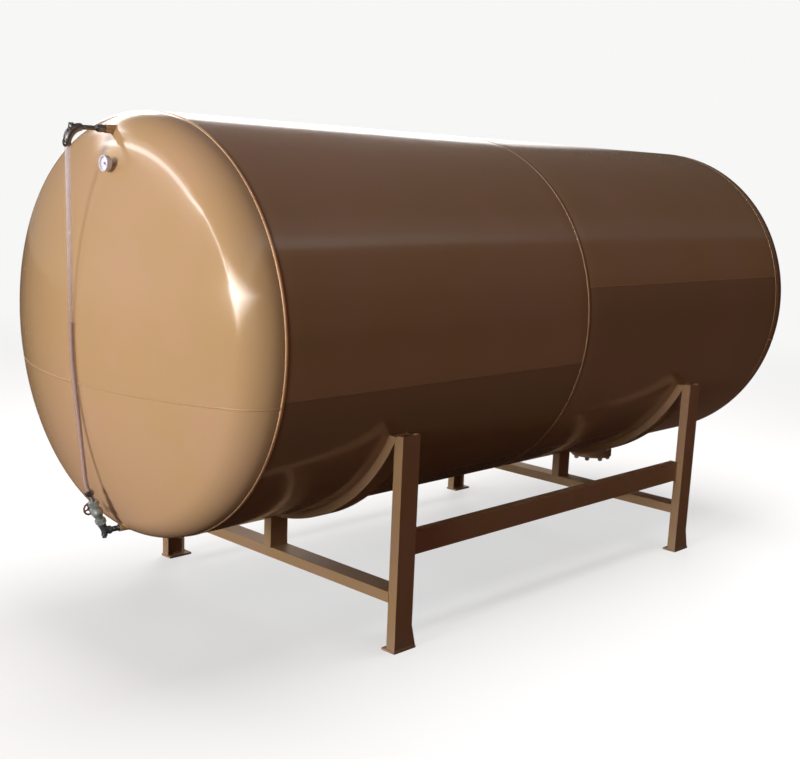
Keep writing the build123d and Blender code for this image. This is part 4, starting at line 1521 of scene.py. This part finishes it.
class TANK_OT_dial(bpy.types.Operator):
    """Builds the small dial gauge below the upper fitting"""
    bl_idname = "tank.dial"
    bl_label = "Dial gauge"

    def execute(self, context):
        needle = dial_needle(context.scene.tank_gauge.reading)
        shown("dial_stem_bar", dial_stem(), grained("bright_metal"), "dark_steel", "dial_stem")
        shown("dial_body", dial_case(), grained("dial_enamel"), "dial_metal", "dial_case")
        shown("dial_card", dial_card(), dial_print(), "dial_white", "dial_face")
        shown("dial_marks", dial_marks(), grained("dial_ink"), "dial_white")
        shown("dial_needle", needle, grained("dial_ink"), "dark_steel")
        shown("dial_cover", dial_glass(), clear_glass(), "dial_glass", "dial_glass")
        return {"FINISHED"}


# Floor, light and camera

def degrees_of(operation, a, b=0.0):
    return maths("DEGREES", maths(operation, a, b))


def background(tree, colour, bright=1.0):
    return Step(tree, "ShaderNodeBackground", Color=colour, Strength=bright)[0]


def far_glow(x, y, z):
    """The glow behind the tank: a low patch under a slanting edge, and a level one above it."""
    height = degrees_of("ARCSINE", z)
    turn = degrees_of("ARCTAN2", y, x)
    brow = height - turn * 0.3
    low = between(height, -2.0, 1.0) * window(brow, -60.0, 9.0, 1.5) * window(turn, 36.0, 66.0, 4.0)
    return low + window(height, 23.5, 33.0, 2.0) * window(turn, 60.0, 112.0, 5.0) * 1.8


def strip_and_lamp(tree, way, light):
    """A strip bent round the knuckle's gloss, and a lamp whose gloss there is a star."""
    halved = Step(tree, "ShaderNodeVectorMath", {"operation": "SUBTRACT"}, i0=way, i1=TOWARD_GAUGE_END)[0]
    halved = Step(tree, "ShaderNodeVectorMath", {"operation": "NORMALIZE"}, i0=halved)[0]
    x, y, z = [axis_of(halved, axis) for axis in "XYZ"]
    lean = degrees_of("ARCCOSINE", -x)
    clock = degrees_of("ARCTAN2", z, -y)
    bent = lean - between(clock, 48.0, 12.0) * 6.0
    strip = window(bent, 25.6, 26.4, 0.3) * window(clock, 12.0, 96.0, 5.0)
    strip = strip * (between(clock, 70.0, 15.0) + 1.0)
    out = maths("POWER", maths("MAXIMUM", (34.0 - lean) / 8.5, (lean - 34.0) / 32.0), 0.7)
    across = maths("POWER", maths("ABSOLUTE", (clock - 12.0) / 12.0), 0.7)
    lamp = 1.0 - between(out + across, 0.15, 1.2)
    return strip * light.band + lamp * light.glow


def room_colour(x, y, z):
    """The dim room, brown below and paler above, with an edge that is lower towards the front."""
    rise = degrees_of("ARCTAN2", z, -y)
    edge = rise + (x - 0.935) * -15.5
    room = blend(between(rise, 20.0, 24.0), (0.085, 0.04, 0.032), (0.14, 0.075, 0.06))
    glint = blend(between(x, 0.64, 0.86), (0.72, 0.69, 0.67), (0.4, 0.36, 0.34))
    bands = ((50.0, 53.5, glint), (54.5, 62.0, (0.34, 0.29, 0.27)), (62.0, 76.0, (0.2, 0.165, 0.15)))
    for low, high, colour in bands:
        room = blend(between(edge, low, high), room, colour)
    return room


def studio_world(light):
    """A plain pale backdrop, a dim room for the object's fill, and soft bands of light for its gloss."""
    world = bpy.data.worlds.new("studio")
    world.use_nodes = True
    tree = world.node_tree
    tree.nodes.clear()
    way = Step(tree, "ShaderNodeTexCoord")["Generated"]
    x, y, z = [axis_of(way, axis) for axis in "XYZ"]
    bright = far_glow(x, y, z) * light.sky + strip_and_lamp(tree, way, light)
    bands = background(tree, (1.0, 0.985, 0.97), bright)
    room = background(tree, room_colour(x, y, z), 1.0 - between(x, 0.66, 0.9) * 0.74)
    gloss = Step(tree, "ShaderNodeAddShader", i0=bands, i1=room)[0]
    lit = by_ray(tree, "Is Glossy Ray", background(tree, light.fill), gloss)
    seen = by_ray(tree, "Is Camera Ray", lit, background(tree, light.backdrop))
    Step(tree, "ShaderNodeOutputWorld", Surface=seen)
    return world


def floor_paint(light):
    """A pale floor to the eye that fades into the backdrop, and a dim one to the object above it."""
    material, tree, shader = new_material("pale_floor")
    place = place_in(tree)
    shader.put(Base_Color=blend(noise_at(place, 0.7, 3.0), (0.78, 0.78, 0.775), (0.82, 0.82, 0.815)),
               Roughness=0.9, Specular_IOR_Level=0.0)
    away = Step(tree, "ShaderNodeVectorMath", {"operation": "LENGTH"}, i0=place)["Value"]
    fade = between(away, 3.5, 14.0) * (1.0 - light.floor_glow) + light.floor_glow
    backdrop = Step(tree, "ShaderNodeEmission", Color=light.backdrop, Strength=1.0)[0]
    pale = Step(tree, "ShaderNodeMixShader", Fac=fade, i1=shader[0], i2=backdrop)[0]
    dim = Step(tree, "ShaderNodeBsdfDiffuse", Color=(0.05, 0.028, 0.019))[0]
    seen = by_ray(tree, "Is Camera Ray", dim, pale)
    output = next(node for node in tree.nodes if node.bl_idname == "ShaderNodeOutputMaterial")
    tree.links.new(seen.socket, output.inputs["Surface"])
    return material


def lit_only(lamp, name, pieces):
    """Keeps a lamp's light to some pieces."""
    receivers = bpy.data.collections.new(name)
    for piece in pieces:
        receivers.objects.link(piece)
    lamp.light_linking.receiver_collection = receivers


def lamp_of(context, name, kind, power, colour, **settings):
    """A lamp of a kind, in the scene."""
    data = bpy.data.lights.new(name, kind)
    for key, value in dict(settings, energy=power, color=colour).items():
        setattr(data, key, value)
    lamp = bpy.data.objects.new(name, data)
    context.scene.collection.objects.link(lamp)
    return lamp


def far_light(context, name, turn, height, power, spread, colour):
    """A far lamp at a turn and a height in degrees, for the object's tones and not its gloss."""
    lamp = lamp_of(context, name, "SUN", power, colour, angle=radians(spread))
    turn, height = radians(turn), radians(height)
    toward = Vector((cos(turn) * cos(height), sin(turn) * cos(height), sin(height)))
    lamp.rotation_euler = toward.to_track_quat("Z", "Y").to_euler()
    lamp.visible_glossy = False
    return lamp


def pale_floor(context):
    """A floor that reaches past the horizon, apart from the object's pieces."""
    reach = 400
    corners = [(-reach, -reach, 0), (reach, -reach, 0), (reach, reach, 0), (-reach, reach, 0)]
    mesh = bpy.data.meshes.new("floor")
    mesh.from_pydata(corners, [], [(0, 1, 2, 3)])
    floor = bpy.data.objects.new("floor", mesh)
    context.scene.collection.objects.link(floor)
    mesh.materials.append(floor_paint(context.scene.tank_light))
    return floor


def photo_camera(context):
    """The camera that the photograph's outline, seams and legs were solved for."""
    data = bpy.data.cameras.new("camera")
    data.sensor_fit = "HORIZONTAL"
    data.sensor_width = 36.0
    data.lens = 52.18
    data.shift_x = 0.0136
    data.shift_y = 0.0741
    camera = bpy.data.objects.new("camera", data)
    right = Vector((0.7041, -0.7090, 0.0391))
    forward = Vector((0.6987, 0.6821, -0.2157))
    right = (right - forward * right.dot(forward) / forward.length_squared).normalized()
    up = right.cross(forward.normalized())
    turn = Matrix((right, up, -forward.normalized())).transposed().to_4x4()
    camera.matrix_world = Matrix.Translation((-5.1926, -4.6436, 2.2518)) @ turn
    context.scene.collection.objects.link(camera)
    context.scene.camera = camera


STAND_PIECES = (*STAND_NODES, "stand_welds")
GAUGE_END_PIECES = (
    "front_end", "end_", "gauge_", "top_", "bottom_", "valve_", "dial_", "sight_", "tube_", "fitting_")
PALE, COOL = (0.962, 0.967, 1.0), (0.95, 0.98, 1.0)


class TANK_OT_stage(bpy.types.Operator):
    """Lays the pale floor, hangs the soft lights and sets up the camera"""
    bl_idname = "tank.stage"
    bl_label = "Floor, light and camera"

    def execute(self, context):
        light = context.scene.tank_light
        floor = pale_floor(context)
        context.scene.world = studio_world(light)
        context.scene.view_settings.view_transform = "Standard"
        pieces = [piece for piece in context.scene.objects if piece.type == "MESH" and piece is not floor]
        stand = [piece for piece in pieces if piece.name.startswith(STAND_PIECES)]
        tank = [piece for piece in pieces if not piece.name.startswith(STAND_PIECES)]
        ends = [piece for piece in pieces if piece.name.startswith(GAUGE_END_PIECES)]
        lit_only(far_light(context, "key_light", 183, 8, light.key, 16, PALE), "lit_tank", tank + [floor])
        stand_light = far_light(context, "stand_light", 183, 8, light.key * light.stand, 16, PALE)
        lit_only(stand_light, "lit_stand", stand)
        far_light(context, "side_light", 136, 5, light.side, 40, PALE)
        lit_only(far_light(context, "near_light", 230, 6, light.near, 30, PALE), "lit_ends", ends)
        far_light(context, "rear_light", 42, 20, light.rear, 25, COOL)
        ceiling = lamp_of(context, "floor_light", "AREA", light.floor, (1, 1, 1), shape="SQUARE", size=7.0)
        ceiling.location = Vector((0.5, 0.0, 9.0))
        ceiling.rotation_euler = (-ceiling.location).to_track_quat("-Z", "Y").to_euler()
        lit_only(ceiling, "lit_floor", [floor])
        photo_camera(context)
        return {"FINISHED"}


OPERATORS = [
    TANK_OT_courses,
    TANK_OT_ends,
    TANK_OT_shell_welds,
    TANK_OT_stand,
    TANK_OT_stand_welds,
    TANK_OT_outlet,
    TANK_OT_outlet_bolts,
    TANK_OT_sight_tube,
    TANK_OT_fittings,
    TANK_OT_dial,
    TANK_OT_stage,
]


class TANK_PT_panel(bpy.types.Panel):
    """Lists the pieces of the tank and their sizes"""
    bl_idname = "TANK_PT_panel"
    bl_label = "Pressure tank"
    bl_space_type = "VIEW_3D"
    bl_region_type = "UI"
    bl_category = "Tank"

    def draw(self, context):
        for name, group in GROUPS.items():
            box = self.layout.box()
            for key in group.__annotations__:
                box.prop(getattr(context.scene, name), key)
        for operator in OPERATORS:
            self.layout.operator(operator.bl_idname)


def register():
    for group in GROUPS.values():
        bpy.utils.register_class(group)
    for name, group in GROUPS.items():
        setattr(bpy.types.Scene, name, bpy.props.PointerProperty(type=group))
    for operator in OPERATORS:
        bpy.utils.register_class(operator)
    bpy.utils.register_class(TANK_PT_panel)


def unregister():
    bpy.utils.unregister_class(TANK_PT_panel)
    for operator in reversed(OPERATORS):
        bpy.utils.unregister_class(operator)
    for name in GROUPS:
        delattr(bpy.types.Scene, name)
    for group in reversed(list(GROUPS.values())):
        bpy.utils.unregister_class(group)


def main():
    register()
    for operator in OPERATORS:
        group, name = operator.bl_idname.split(".")
        getattr(getattr(bpy.ops, group), name)()
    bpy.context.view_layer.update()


if __name__ == "__main__":
    main()
